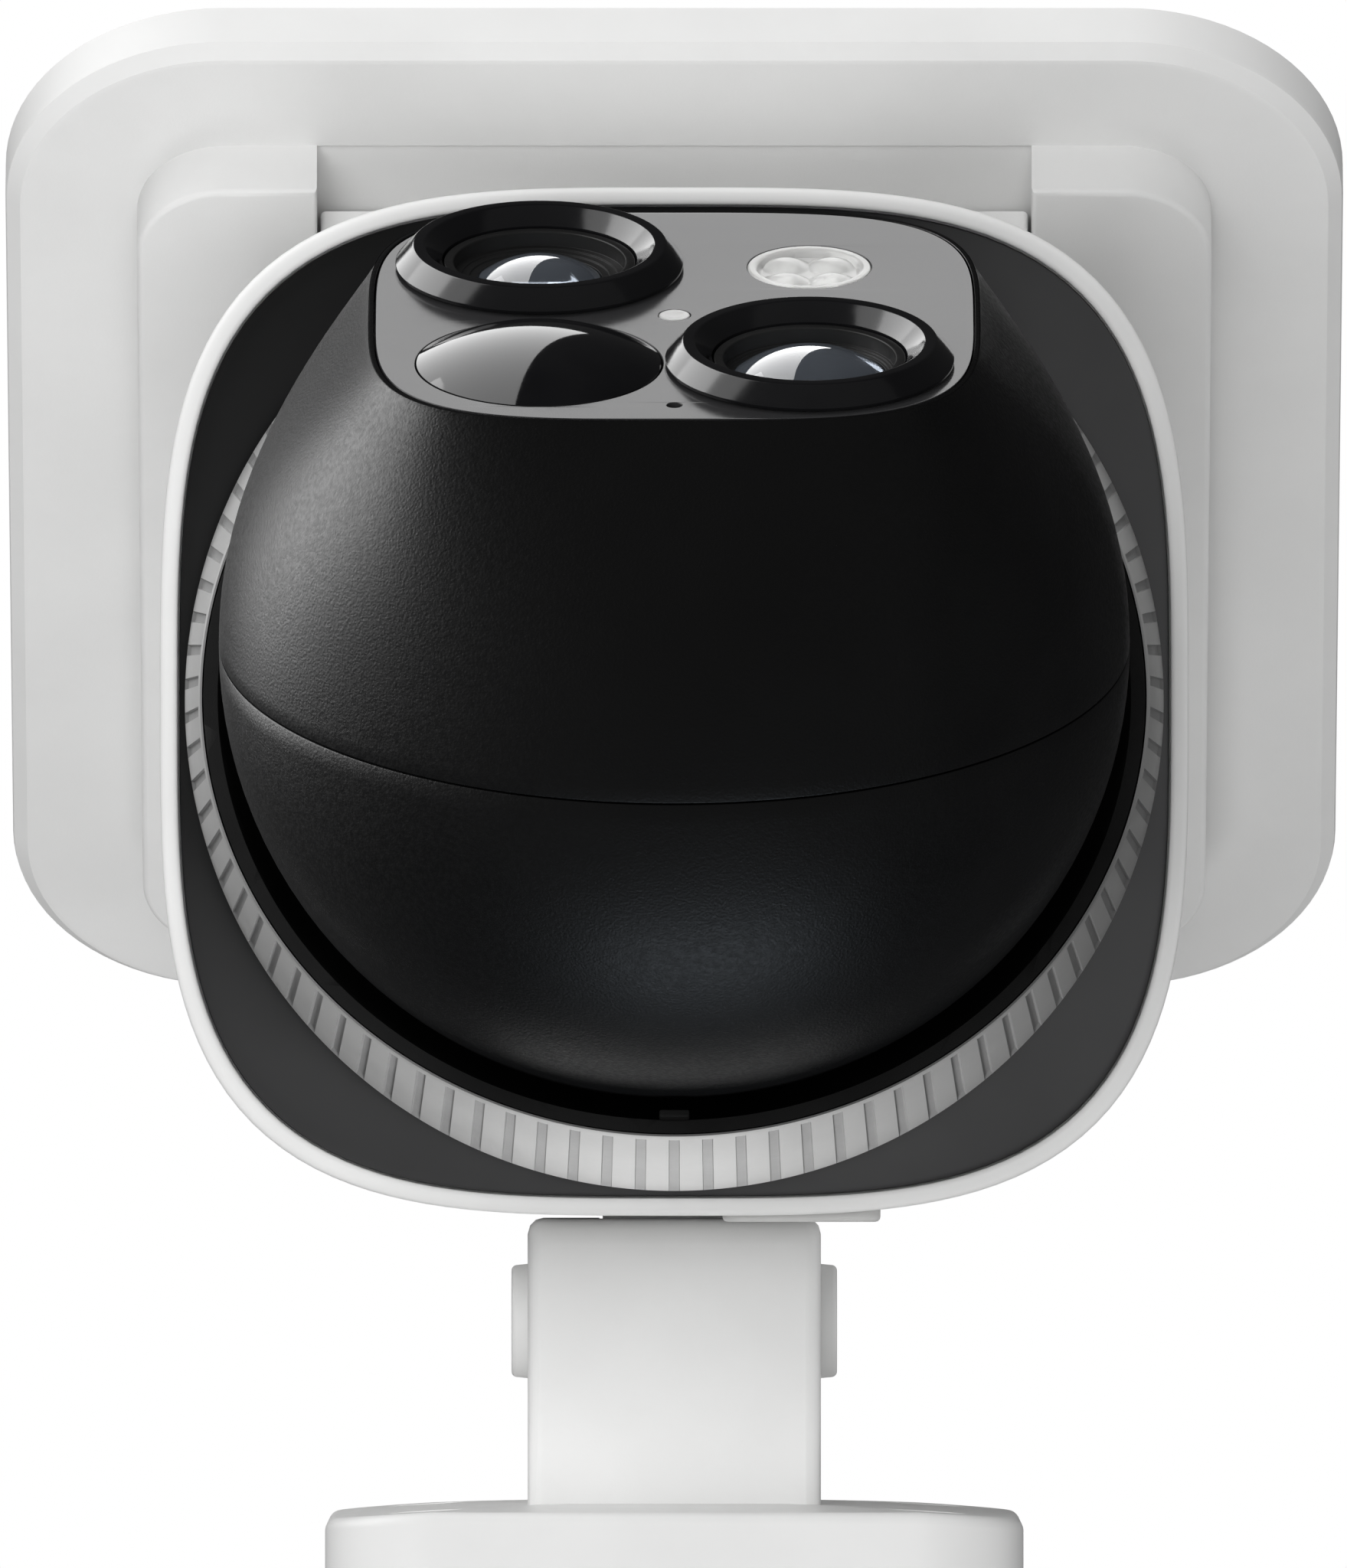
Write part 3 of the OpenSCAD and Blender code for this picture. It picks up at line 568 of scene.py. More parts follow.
# Plain moulded plastics: colour range, roughness, size and depth of the grain, spread of the roughness
MOULDED = {
    "white_plastic": ((0.80, 0.80, 0.795), (0.83, 0.83, 0.825), 0.42, 0.22, 0.006),
    "black_cup_plastic": ((0.006, 0.006, 0.006), (0.009, 0.009, 0.009), 0.6, 0.18, 0.02),
    "black_gloss_plate": ((0.050, 0.050, 0.051), (0.056, 0.056, 0.057), 0.36, 0.12, 0.0012, 0.03),
    "lens_plate_gloss": ((0.022, 0.022, 0.023), (0.026, 0.026, 0.027), 0.16, 0.3, 0.0004, 0.02),
    "lens_ring_gloss": ((0.004, 0.004, 0.0045), (0.006, 0.006, 0.0065), 0.14, 0.15, 0.0008, 0.03),
    "lens_barrel_black": ((0.010, 0.010, 0.010), (0.015, 0.015, 0.015), 0.38, 0.1, 0.003),
    "pir_dome_black": ((0.003, 0.003, 0.0035), (0.005, 0.005, 0.0055), 0.05, 0.6, 0.0003, 0.015),
    "inner_plastic": ((0.05, 0.05, 0.052), (0.07, 0.07, 0.072), 0.5, 0.3, 0.01),
    "bearing_plastic": ((0.30, 0.27, 0.18), (0.35, 0.31, 0.21), 0.35, 0.3, 0.004),
    "gear_plastic": ((0.68, 0.65, 0.56), (0.73, 0.70, 0.61), 0.4, 0.25, 0.005),
    "led_board_white": ((0.75, 0.75, 0.70), (0.82, 0.82, 0.77), 0.3, 0.6, 0.01),
}

# The finish of each material slot in the record
FINISHES = {slot: moulded_plastic(slot, *values) for slot, values in MOULDED.items()}
FINISHES.update({
    "black_grain_plastic": black_grain(),
    "lens_glass": tinted_glass(),
    "light_lens_clear": clear_cover(),
    "steel": metal("steel", (0.50, 0.50, 0.51), (0.62, 0.62, 0.63), 0.3),
    "yoke_metal": metal("yoke_metal", (0.22, 0.23, 0.25), (0.30, 0.31, 0.33), 0.4),
    "rubber_seal": rubber("rubber_seal", (0.015, 0.015, 0.015), (0.025, 0.025, 0.025)),
    "flap_rubber": rubber("flap_rubber", (0.70, 0.70, 0.69), (0.74, 0.74, 0.73), 0.6),
    "battery_wrap": battery_wrap(),
    "circuit_board": circuit(),
    "solar_cell": silicon(),
    "panel_glass": cover_glass(),
})

# Finishes of single pieces: the panel's duller white, a grey with painted shade for the floors of the collar's
# grooves, and the lenses' inner elements
PANEL_WHITE = moulded_plastic(
    "panel_white_plastic", (0.79, 0.79, 0.785), (0.82, 0.82, 0.815), 0.46, 0.25, 0.008
)
# Painted shade: the collar's groove floors are grey, darker than the white ribs, to stand in for shade in the
# grooves
GROOVE_PAINTED_SHADE = moulded_plastic("groove_painted_shade", (0.52, 0.52, 0.52), (0.57, 0.57, 0.57), 0.5, 0.22, 0.006)
WIDE_COATING = element_coating("wide_element", (0.004, 0.004, 0.006), (0.01, 0.01, 0.016))
TELE_COATING = element_coating("tele_element", (0.02, 0.05, 0.16), (0.04, 0.08, 0.22))


# ---------- CAD nodes that stay ----------

TOOTHED = ("pan_gear", "pan_pinion", "tilt_gear", "tilt_pinion")
NODE_BEVEL = 0.15
BEVEL_FROM = 40  # degrees between faces from which an edge is rounded


def slot_of(node):
    """The record's material slot of a CAD node."""
    return next(row["material_slot"] for row in frame["record"]["subparts"] if row["node"] == node)


def refine_cad_node(node, bevel):
    """A CAD node that stays gets its material, and a small edge rounding by modifiers."""
    obj = frame["nodes"][node]
    slot = slot_of(node)
    material = FINISHES[slot]
    if obj.data.materials:
        for i in range(len(obj.data.materials)):
            obj.data.materials[i] = material
    else:
        obj.data.materials.append(material)
    if bevel:
        weld = obj.modifiers.new("weld", "WELD")
        weld.merge_threshold = WELD
        rounding = obj.modifiers.new("rounding", "BEVEL")
        rounding.width = bevel * MM
        rounding.segments = 2
        rounding.limit_method = "ANGLE"
        rounding.angle_limit = math.radians(BEVEL_FROM)
        rounding.harden_normals = True


# ---------- wall bracket ----------

ARM_A = 13.3
ARM_HALF_H = 15
ARM_FRONT = 9.4
FORK_A = 6.8
WEB_TOP = -9.4
SWING = 20  # degrees that the housing can lift
SCREW_HOLES = [(x, z) for x in (-23, 23) for z in (-25, 25)]


def wall_plate_mesh():
    """Wall plate with an arched front, a soft front edge and round corners."""
    high = node_box("wall_bracket")[1]
    half_x, half_z = high.x, high.z
    corner, thick, arch = 9.5, 6.4, 1.3
    back_edge, bevel = 0.3, 1.1
    arch_r = (half_x**2 + arch**2) / (2 * arch)

    def front(x, inset):
        return -(thick - inset - (arch_r - math.sqrt(arch_r**2 - x**2)))

    def ring(inset, depth=None, share=1.0):
        outline = round_rect(half_x - inset, half_z - inset, corner - inset)
        return [
            (x * share, 0.0 if depth is None else front(x * share, depth), z * share)
            for x, z in outline
        ]

    rings = [ring(back_edge), [(x, -back_edge, z) for x, y, z in ring(0)]]
    for t in range(0, 91, 15):
        turn = math.radians(t)
        rings.append(ring(bevel * (1 - math.cos(turn)), bevel * (1 - math.sin(turn))))
    for share in (0.9, 0.8, 0.7, 0.6, 0.5, 0.4, 0.3, 0.2, 0.1, 0.02):
        rings.append(ring(bevel, 0, share))
    return rings_mesh("wall_plate", rings)


def arm_mesh():
    """Arm seen from the side, with its long edges rounded, and forked for the knuckle."""
    corner_r, edge_r, pin_bore = 2.4, 1.4, 3.05
    inside_plate = 4
    back = PIVOT.y + inside_plate
    outline = [(back, -ARM_HALF_H), (ARM_FRONT, -ARM_HALF_H)]
    outline += [
        (ARM_FRONT * math.cos(math.radians(t)), ARM_FRONT * math.sin(math.radians(t)))
        for t in range(0, SWING + 1, 2)
    ]
    swing = math.radians(SWING)
    outline += [
        ((ARM_FRONT - ARM_HALF_H * math.sin(swing)) / math.cos(swing), ARM_HALF_H),
        (back, ARM_HALF_H),
    ]
    radii = [0, corner_r] + [0] * (len(outline) - 4) + [corner_r, 0]
    side_view = Matrix(((0, 0, 1, 0), (-1, 0, 0, 0), (0, 1, 0, 0), (0, 0, 0, 1)))
    solid = cut_sheet("arm", filleted(outline, radii), [], -ARM_A, ARM_A, edge_r, AT_PIVOT @ side_view)
    fork = box_mesh((-FORK_A, -20, WEB_TOP), (FORK_A, 9.6, 30), AT_PIVOT)
    hole = rod_mesh(pin_bore, -20, 20, AT_PIVOT @ turned(90, "Y"))
    return combined(solid, [fork, hole])


def wall_bracket():
    """Wall plate and arm in one moulding, with countersunk screw holes."""
    screw_r, sink_r, sink_from = 2.25, 5.9, 4.4
    holes = []
    for x, z in SCREW_HOLES:
        place = at(x, 0, z) @ turned(90)
        holes.append(rod_mesh(screw_r, -1, 8, place))
        holes.append(rod_mesh(screw_r, sink_from, 8, place, r_end=sink_r))
    bracket = combined(combined(wall_plate_mesh(), [arm_mesh()], "UNION"), holes)
    piece("wall_bracket_moulding", bracket, "wall_mount", "white_plastic", ["wall_bracket"], flat_sided=True)


def pivot_caps():
    """Round caps over the ends of the pivot pin, with a shallow dish."""
    profile = filleted(
        [(0, 0.02), (5.2, 0.02), (5.05, 1.5), (3.6, 1.5), (3.3, 1.2), (0, 1.15)],
        [0, 0, 0.5, 0.2, 0.3, 0],
        closed=False,
    )
    for side, name in ((-1, "left"), (1, "right")):
        place = AT_PIVOT @ at(side * ARM_A, 0, 0) @ turned(side * 90, "Y")
        mesh = lathe("cap", profile, place, loop=False, steps=64)
        piece(f"pivot_cap_{name}_round", mesh, "wall_mount", "white_plastic", [f"pivot_cap_{name}"])


# ---------- housing ----------


def soft_rings(profile, power=BODY_POWER):
    """Rings of soft squares, one for each (half width, height)."""
    return [lifted(soft_square(a, power), z) for a, z in profile]


def node_middle(node):
    """Middle of a CAD node's box."""
    low, high = node_box(node)
    return (low + high) / 2


def back_wall_cutters():
    """The port's recess and opening, and the pairing button's dish and bore."""
    gap, recess = 0.3, 1.2
    port_half_x, port_half_z = 5, 2.3
    button_bore, button_dish, dish_depth = 4.2, 4.75, 0.45
    back = PAN.y + BODY_A
    low, high = node_box("port_flap")
    port = node_middle("usb_socket")
    button = node_middle("sync_button")
    button_place = at(button.x, back, button.z)
    port_low = (port.x - port_half_x, back - 6, port.z - port_half_z)
    port_high = (port.x + port_half_x, back, port.z + port_half_z)
    return [
        box_mesh((low.x - gap, back - recess, low.z - gap), (high.x + gap, back + 3, high.z + gap)),
        rod_mesh(button_bore, -4, 4, button_place @ turned(90)),
        rod_mesh(button_dish, -dish_depth, 3, button_place @ turned(-90)),
        box_mesh(port_low, port_high),
    ]


def speaker_holes():
    """Three rows of three small holes in the housing's left side."""
    hole_r, pitch = 0.9, 4
    holes = []
    for i in (-1, 0, 1):
        for j in (-1, 0, 1):
            place = at(-BODY_A, PAN.y + i * pitch, j * pitch) @ turned(90, "Y")
            holes.append(rod_mesh(hole_r, -4, 4, place, steps=24))
    return holes


def body_shell():
    """Walls of the housing, with a rounded rim and the openings in its back and left side."""
    seat_a = FACE_A + 0.15
    top = SHELL_TOP - 0.05
    seat_z = FACE_Z + FACE_T
    profile = [
        (seat_a, RIM_Z), (BODY_A, RIM_Z), (BODY_A, top), (INNER_A, top), (INNER_A, seat_z), (seat_a, seat_z),
    ]
    rings = soft_rings(filleted(profile, [0.45, 0.9, 0.3, 0.2, 0, 0]))
    shell = rings_mesh("shell", rings, AT_PAN, loop=True)
    shell = combined(shell, back_wall_cutters() + speaker_holes())
    piece("housing_shell", shell, "housing", "white_plastic", ["body_shell"])


def top_cover():
    """Hollow cover with a round shoulder, and a fine seam where it meets the walls."""
    inner_round = TOP_ROUND - WALL
    seam_z = SHELL_TOP + 0.03
    outer, inner = [], []
    for t in range(0, 91, 6):
        in_by, down_by = 1 - math.cos(math.radians(t)), 1 - math.sin(math.radians(t))
        outer.append((BODY_A - TOP_ROUND * in_by, TOP_Z - TOP_ROUND * down_by))
        inner.append((INNER_A - inner_round * in_by, TOP_Z - WALL - inner_round * down_by))
    outer[:1] = [(BODY_A - 0.22, seam_z), (BODY_A - 0.04, SHELL_TOP + 0.22)]
    profile = inner[::-1] + [(INNER_A, seam_z)] + outer
    rings = soft_rings(profile)
    for share in (0.75, 0.5, 0.25):
        rings.append([(x * share, y * share, z) for x, y, z in soft_rings([outer[-1]])[0]])
    cover = rings_mesh("cover", rings, AT_PAN)
    piece("housing_top", cover, "housing", "white_plastic", ["top_cover"])


def face_plate():
    """Recessed black underside, with a round hole for the turning cup."""
    edge = 0.25
    top = FACE_Z + FACE_T
    rim = [(FACE_A, top), (FACE_A, FACE_Z + edge), (FACE_A - 0.08, FACE_Z + 0.07), (FACE_A - edge, FACE_Z)]
    rings = soft_rings(rim)
    border = soft_square(FACE_A - edge, BODY_POWER)
    for share in (0.25, 0.5, 0.75, 1.0):
        hole = circle(share * FACE_HOLE_R)
        rings.append([
            ((1 - share) * x + hole_x, (1 - share) * y + hole_y, FACE_Z)
            for (x, y), (hole_x, hole_y) in zip(border, hole)
        ])
    rings.append([(x, y, top) for x, y, z in rings[-1]])
    plate = rings_mesh("face", rings, AT_PAN, loop=True)
    piece("housing_face", plate, "housing", "black_gloss_plate", ["face_plate"], flat_sided=True)


def port_flap():
    """Rubber flap with soft edges and a finger lip at its lower edge."""
    low, high = node_box("port_flap")
    middle = (low + high) / 2
    half_x, half_z = (high.x - low.x) / 2, (high.z - low.z) / 2
    place = at(middle.x, 0, middle.z) @ turned(90)
    outline = round_rect(half_x, half_z, 2.2)
    edge_r = 0.45
    cover = cut_sheet("flap", outline, [], -high.y, -low.y, edge_r, place)
    grip = box_mesh((low.x + 4, high.y - 0.35, low.z + 1.0), (high.x - 4, high.y + 1, low.z + 1.7))
    groove = box_mesh((low.x + 1.2, high.y - 0.25, high.z - 1.9), (high.x - 1.2, high.y + 1, high.z - 1.5))
    cover = combined(cover, [grip, groove])
    piece("port_flap_soft", cover, "port_cover", "flap_rubber", ["port_flap"])


def sync_button():
    """Round button with a dished face and a collar inside the wall."""
    low, high = node_box("sync_button")
    place = at((low.x + high.x) / 2, high.y, (low.z + high.z) / 2) @ turned(-90)
    depth = high.y - low.y
    collar_r, face_r, collar_top = 5.1, 3.9, -depth + 1
    profile = filleted(
        [
            (0, -depth), (collar_r, -depth), (collar_r, collar_top), (face_r, collar_top),
            (face_r, 0), (3.0, 0), (1.5, -0.25), (0, -0.35),
        ],
        [0, 0.1, 0.1, 0, 0.45, 0.6, 0.8, 0],
        closed=False,
    )
    mesh = lathe("button", profile, place, loop=False, steps=64)
    piece("sync_button_dished", mesh, "sync_key", "white_plastic", ["sync_button"])


# ---------- turning cup ----------


def slanted(r, angle):
    """Point of the collar's slanted rim circle."""
    slant = math.radians(RIM_SLANT)
    x, y = r * math.cos(angle), r * math.sin(angle)
    return Vector((x, RIM_Y + y * math.cos(slant), FACE_Z - RIM_DROP - y * math.sin(slant)))


def collar_point(angle, share, inset):
    """Point of the collar's wall: share 0 at the base and 1 at the rim, set in towards the axis."""
    base = Vector((BASE_R * math.cos(angle), BASE_R * math.sin(angle), BASE_Z))
    point = base.lerp(slanted(RIM_R, angle), share)
    flat = Vector((point.x, point.y, 0)).normalized()
    return point - flat * inset


def pan_collar():
    """White collar with shallow upright grooves that stop short of its thin rim, their floors painted grey as
    painted shade.
    """
    groove_width, pitch, groove_depth = 1.0, 3.07, 0.3
    half_groove = groove_width / 2 / pitch
    floor_half = half_groove * 0.88
    # Points across one rib and groove, in pitches from the groove's middle, and the columns in the groove, which
    # get painted shade
    offsets = [-0.5, -0.34, -0.23, -half_groove, -floor_half, 0.0, floor_half, half_groove, 0.23, 0.34]
    painted_shade_columns = (3, 4, 5, 6)
    # Depth of the grooves at each height of the wall, from 0 at the base to 1 at the rim
    depth_at = {0.0: 0.0, 0.02: 1.0, 0.35: 1.0, 0.7: 1.0, 0.935: 1.0, 0.95: 0.0, 0.99: 0.0}
    groove_bands = 5
    plain_rings = [(1.0, 0.1), (1.0, 0.28), (0.9, 0.42), (0.0, 1.2)]

    def ring(share, inset, depth):
        points = []
        for g in range(GROOVES):
            for offset in offsets:
                angle = (g + 0.5 + offset) * 2 * math.pi / GROOVES
                sunk = depth if abs(offset) < half_groove * 0.95 else 0.0
                points.append(tuple(collar_point(angle, share, inset + sunk)))
        return points

    rings = [ring(share, 0.0, groove_depth * depth) for share, depth in depth_at.items()]
    rings += [ring(share, inset, 0.0) for share, inset in plain_rings]
    mesh = rings_mesh("collar", rings, AT_PAN, loop=True, sharp=25)
    collar = piece("collar_ribbed", mesh, "turret", "white_plastic", ["pan_collar"])
    # The groove floors get the grey finish as painted shade
    collar.data.materials.append(GROOVE_PAINTED_SHADE)
    for face in collar.data.polygons[: groove_bands * GROOVES * len(offsets)]:
        if face.index % len(offsets) in painted_shade_columns:
            face.material_index = 1


def bowl_tab():
    """Small moulded stop just inside the cup's rim, at the back."""
    outline = round_rect(1.35, 0.35, 0.2)
    place = AT_CUP @ at(0, CUP_MOUTH_R - 0.15, 12.2)
    mesh = cut_sheet("tab", outline, [], -0.9, 0.1, 0.12, place)
    piece("cup_stop", mesh, "turret", "black_cup_plastic")


# ---------- head ----------


def shell_a(t):
    """Half width of the front shell t from the ball's middle, a hair under the CAD's to clear the bowl."""
    relief = 0.1 * min(1.0, t / 8)
    swell = max(0.0, 1 - (t / PLATE_REACH) ** 2.315) ** 1.184
    return FRONT_A + (BALL_R - FRONT_A) * swell - relief


def shell_power(t):
    """The front shell is round at the seam and a soft square at the lens plate."""
    return 2 + (FRONT_POWER - 2) * (t / PLATE_REACH) ** 3


def front_ring(t, inset, height=None):
    """The front shell's outline at t, set in, and at another height if one is given."""
    return lifted(soft_square(shell_a(t) - inset, shell_power(t)), t if height is None else height)


def head_front():
    """Front of the ball, which flattens towards the lens plate."""
    edge = 0.16
    seat_a, opening_a = 26.95, 24.4
    ledge, back_of_ledge = PLATE_REACH - 1.7, PLATE_REACH - 3.8
    rings = [front_ring(0, edge, SEAM), front_ring(0, edge * 0.3, SEAM + edge * 0.3)]
    rings.append(front_ring(SEAM + edge, 0))
    for turn in range(3, 88, 3):
        rings.append(front_ring(PLATE_REACH * math.sin(math.radians(turn)), 0))
    rings.append(front_ring(PLATE_REACH - 0.02, 0.0, PLATE_REACH - 0.13))
    rings.append(front_ring(PLATE_REACH, 0.05, PLATE_REACH - 0.04))
    rings.append(front_ring(PLATE_REACH, 0.14, PLATE_REACH))
    seat = [
        (26.99, PLATE_REACH), (seat_a, PLATE_REACH - 0.06), (seat_a, ledge),
        (opening_a, ledge), (opening_a, back_of_ledge),
    ]
    rings += soft_rings(seat, FRONT_POWER)
    for turn in range(78, -1, -6):
        share = math.sin(math.radians(turn))
        rings.append(front_ring(PLATE_REACH * share, SHELL_T, SEAM + (back_of_ledge - SEAM) * share))
    mesh = rings_mesh("front", rings, AT_HEAD, loop=True)
    piece("ball_front", mesh, "head", "black_grain_plastic", ["head_front_shell"])


def head_rear():
    """Back of the ball, with the slot that the yoke passes through."""
    edge = 0.16
    slot_low, slot_high, slot_half, slot_steps = -4.0, 63.6, 9.8, 12
    inner_r = BALL_R - SHELL_T
    profile = [(BALL_R - edge, -SEAM), (BALL_R - 0.05, -SEAM - 0.05), (BALL_R, -SEAM - edge)]
    for turn in range(3, 91, 3):
        a = math.radians(turn)
        profile.append((BALL_R * math.cos(a), -BALL_R * math.sin(a)))
    for turn in range(90, -1, -3):
        a = math.radians(turn)
        profile.append((inner_r * math.cos(a), -max(inner_r * math.sin(a), SEAM)))
    ball = lathe("rear", profile, AT_HEAD, steps=STEPS)
    corners = [(-slot_half, 30), (slot_half, 30), (slot_half, 46), (-slot_half, 46)]
    rings = []
    for k in range(slot_steps + 1):
        a = math.radians(slot_low + (slot_high - slot_low) * k / slot_steps)
        up, back = math.sin(a), -math.cos(a)
        rings.append([(x, r * up, r * back) for x, r in corners])
    ball = combined(ball, [rings_mesh("slot", rings, AT_HEAD)])
    piece("ball_rear", ball, "head", "black_grain_plastic", ["head_rear_shell"])


def lens_plate():
    """Glossy plate with openings for the lenses, spotlight, motion sensor, light sensor and microphone."""
    half_width, thick, edge_r = 26.8, 1.6, 0.1
    holes = [
        circle(10.6, 96, WIDE_AT),
        circle(10.6, 96, TELE_AT),
        circle(5.6, 72, SPOT_AT),
        circle(11.1, 96, PIR_AT),
        circle(1.45, 32),
        circle(0.67, 24, MIC_AT),
    ]
    outline = soft_square(half_width, FRONT_POWER)
    mesh = cut_sheet("plate", outline, holes, PLATE_REACH - thick, PLATE_REACH, edge_r, AT_HEAD)
    piece("lens_plate_glossy", mesh, "head", "lens_plate_gloss", ["lens_plate"], flat_sided=True)


def lens_ring(name, place):
    """Raised ring with a sloping outer face, and a neck through the plate."""
    inner_r, neck_r, top = 8.75, 10.4, 2.25
    profile = filleted(
        [
            (inner_r, -3), (neck_r, -3), (neck_r, 0.2), (12.9, 0.2), (12.95, 0.5),
            (11.35, top), (10.35, top), (inner_r, 0.75),
        ],
        [0.1, 0.1, 0.05, 0.05, 0.15, 0.4, 0.4, 0.1],
    )
    mesh = lathe("ring", profile, on_plate(place), steps=128)
    piece(f"{name}_ring_round", mesh, "head", "lens_ring_gloss", [f"{name}_lens_ring"])


def lens_barrel(name, place, glass_r):
    """Barrel with stepped rings round the glass, and a narrowing throat."""
    outer_r, mouth_r, seat_r, throat_r = 8.6, 7.7, glass_r + 0.1, glass_r - 1
    step_count = 3
    width = mouth_r - seat_r
    steps = []
    for k in range(step_count):
        r = mouth_r - width * k / step_count
        z = -0.75 - 0.15 * k
        steps += [(r, z), (r - width / step_count + 0.02, z)]
    profile = [(throat_r, -14), (outer_r, -14), (outer_r, 0.6), (mouth_r, 0.6)] + steps
    profile += [(seat_r, -1.2), (seat_r, -6), (throat_r, -6)]
    radii = [0, 0, 0.15, 0.15] + [0.05] * len(steps) + [0, 0, 0]
    mesh = lathe("barrel", filleted(profile, radii, steps=3), on_plate(place), steps=96)
    piece(f"{name}_barrel_stepped", mesh, "head", "lens_barrel_black", [f"{name}_lens_barrel"])


def dome_points(r, rise, foot, steps, edge):
    """Profile of a dome that rises this far above its foot, from its edge to its middle."""
    dome_r = (r * r + rise * rise) / (2 * rise)
    points = []
    for k in range(steps + 1):
        x = (r - edge) * (1 - k / steps)
        points.append((x, foot + rise - dome_r + math.sqrt(dome_r**2 - x * x)))
    return points


def lens_glass(name, place, r):
    """Domed front glass."""
    profile = [(0, -4.1), (r - 0.1, -4.1), (r, -4.0), (r, -1.25)]
    profile += dome_points(r, 0.35 * r, -1.1, 12, 0.06)
    mesh = lathe("glass", profile, on_plate(place), loop=False, steps=96)
    piece(f"{name}_glass_dome", mesh, "head", "lens_glass", [f"{name}_lens_glass"])


def lens_inside(name, place, r, pupil_r, coating):
    """Iris and inner element behind the front glass."""
    profile = filleted(
        [(pupil_r, -5.6), (r - 0.1, -4.6), (r - 0.1, -4.45), (pupil_r + 1.2, -4.9), (pupil_r, -5.3)],
        [0, 0, 0, 0.2, 0.1],
    )
    iris = lathe("iris", profile, on_plate(place), steps=72)
    piece(f"{name}_iris", iris, "head", "lens_barrel_black")
    element_r, steps = pupil_r + 0.6, 6
    profile = [(0, -7.0), (element_r, -7.0)]
    for k in range(steps + 1):
        x = element_r * (1 - k / steps)
        profile.append((x, -6.1 - 0.12 * x * x))
    element = lathe("element", profile, on_plate(place), loop=False, steps=48)
    piece(f"{name}_inner_element", element, "head", "lens_ring_gloss", material=coating)


def pir_dome():
    """Shallow dome over the motion sensor."""
    r, rise = 11, 2.8
    profile = [(0, -1.0), (r - 1.1, -1.6), (r, -1.6), (r, -0.12)]
    profile += dome_points(r, rise, 0, 24, 0.05)
    mesh = lathe("pir", profile, on_plate(PIR_AT), loop=False, steps=128)
    piece("pir_dome", mesh, "head", "pir_dome_black", ["pir_lens"])


def spotlight():
    """Clear cover with a rim and four domed lobes over the light's chips."""
    r, rim_height, rim_inner_r, rim_slope = 5.55, 0.02, 4.75, 0.35
    well_depth, lobe_height, lobe_from_middle = 0.75, 0.7, 2.05
    ring_count, steps = 26, 96
    rings = [lifted(circle(r, steps), -1.6), lifted(circle(r, steps), -0.1)]
    rings.append(lifted(circle(r - 0.1, steps), rim_height))

    def height(x, y):
        off_x, off_y = abs(x) - lobe_from_middle, abs(y) - lobe_from_middle
        lobe = max(1.45 - (off_x**2 + off_y**2) / 3.4, 0.0)
        inside = max(0.0, min(1.0, (rim_inner_r - math.hypot(x, y)) / rim_slope))
        return rim_height - well_depth * inside + min(lobe * 0.5, lobe_height) * inside

    for k in range(1, ring_count + 1):
        radius = (r - 0.1) * (1 - k / (ring_count + 0.2))
        rings.append([(x, y, height(x, y)) for x, y in circle(radius, steps)])
    mesh = rings_mesh("spot", rings, on_plate(SPOT_AT), sharp=60)
    piece("spotlight_lobes", mesh, "head", "light_lens_clear", ["spotlight_lens"])
    profile = filleted([(5.5, -1.7), (5.5, -3.3), (3.9, -3.3), (4.9, -1.7)], [0.05] * 4)
    reflector = lathe("reflector", profile, on_plate(SPOT_AT), steps=72)
    piece("spotlight_reflector", reflector, "head", "led_board_white")


def light_window():
    """Small dished window of the light sensor."""
    profile = [(0, -1.6), (1.4, -1.6), (1.4, 0.05), (0.9, 0.05), (0, -0.1)]
    profile = filleted(profile, [0, 0, 0.15, 0.2, 0], closed=False)
    mesh = lathe("window", profile, on_plate((0, 0)), loop=False, steps=48)
    piece("light_window_clear", mesh, "head", "light_lens_clear", ["light_sensor_window"])


# ---------- solar panel ----------


def panel_outline(a, r):
    """Square with round corners that are finer than most."""
    return round_rect(a, a, r, 20)


def panel_piece(name, mesh, node):
    """A flat-sided piece of the panel in its own white."""
    piece(name, mesh, "panel", "white_plastic", [node], PANEL_WHITE, flat_sided=True)


def panel_frame():
    """White frame: chamfered underside edge, and a thin lip round the glass."""
    bevel, lip = 1.5, 3.0
    # How far in from the frame's side, and how high
    profile = [
        (bevel + 0.35, 0.0), (bevel - 0.15, 0.1), (0.12, bevel - 0.2), (0.0, bevel + 0.3),
        (0.0, PANEL_T - 0.6), (0.29, PANEL_T - 0.29), (0.6, PANEL_T),
        (lip - 0.15, PANEL_T), (lip, PANEL_T - 0.15), (lip, CELLS_Z),
    ]
    rings = [lifted(panel_outline(PANEL_A - inset, PANEL_CORNER - inset), z) for inset, z in profile]
    frame_mesh = rings_mesh("frame", rings, AT_PANEL)
    slot = box_mesh((-SLOT_A, -BLOCK_A, -3), (SLOT_A, SLOT_END, 0.3), AT_PANEL)
    panel_piece("panel_frame_moulded", combined(frame_mesh, [slot]), "panel_frame")


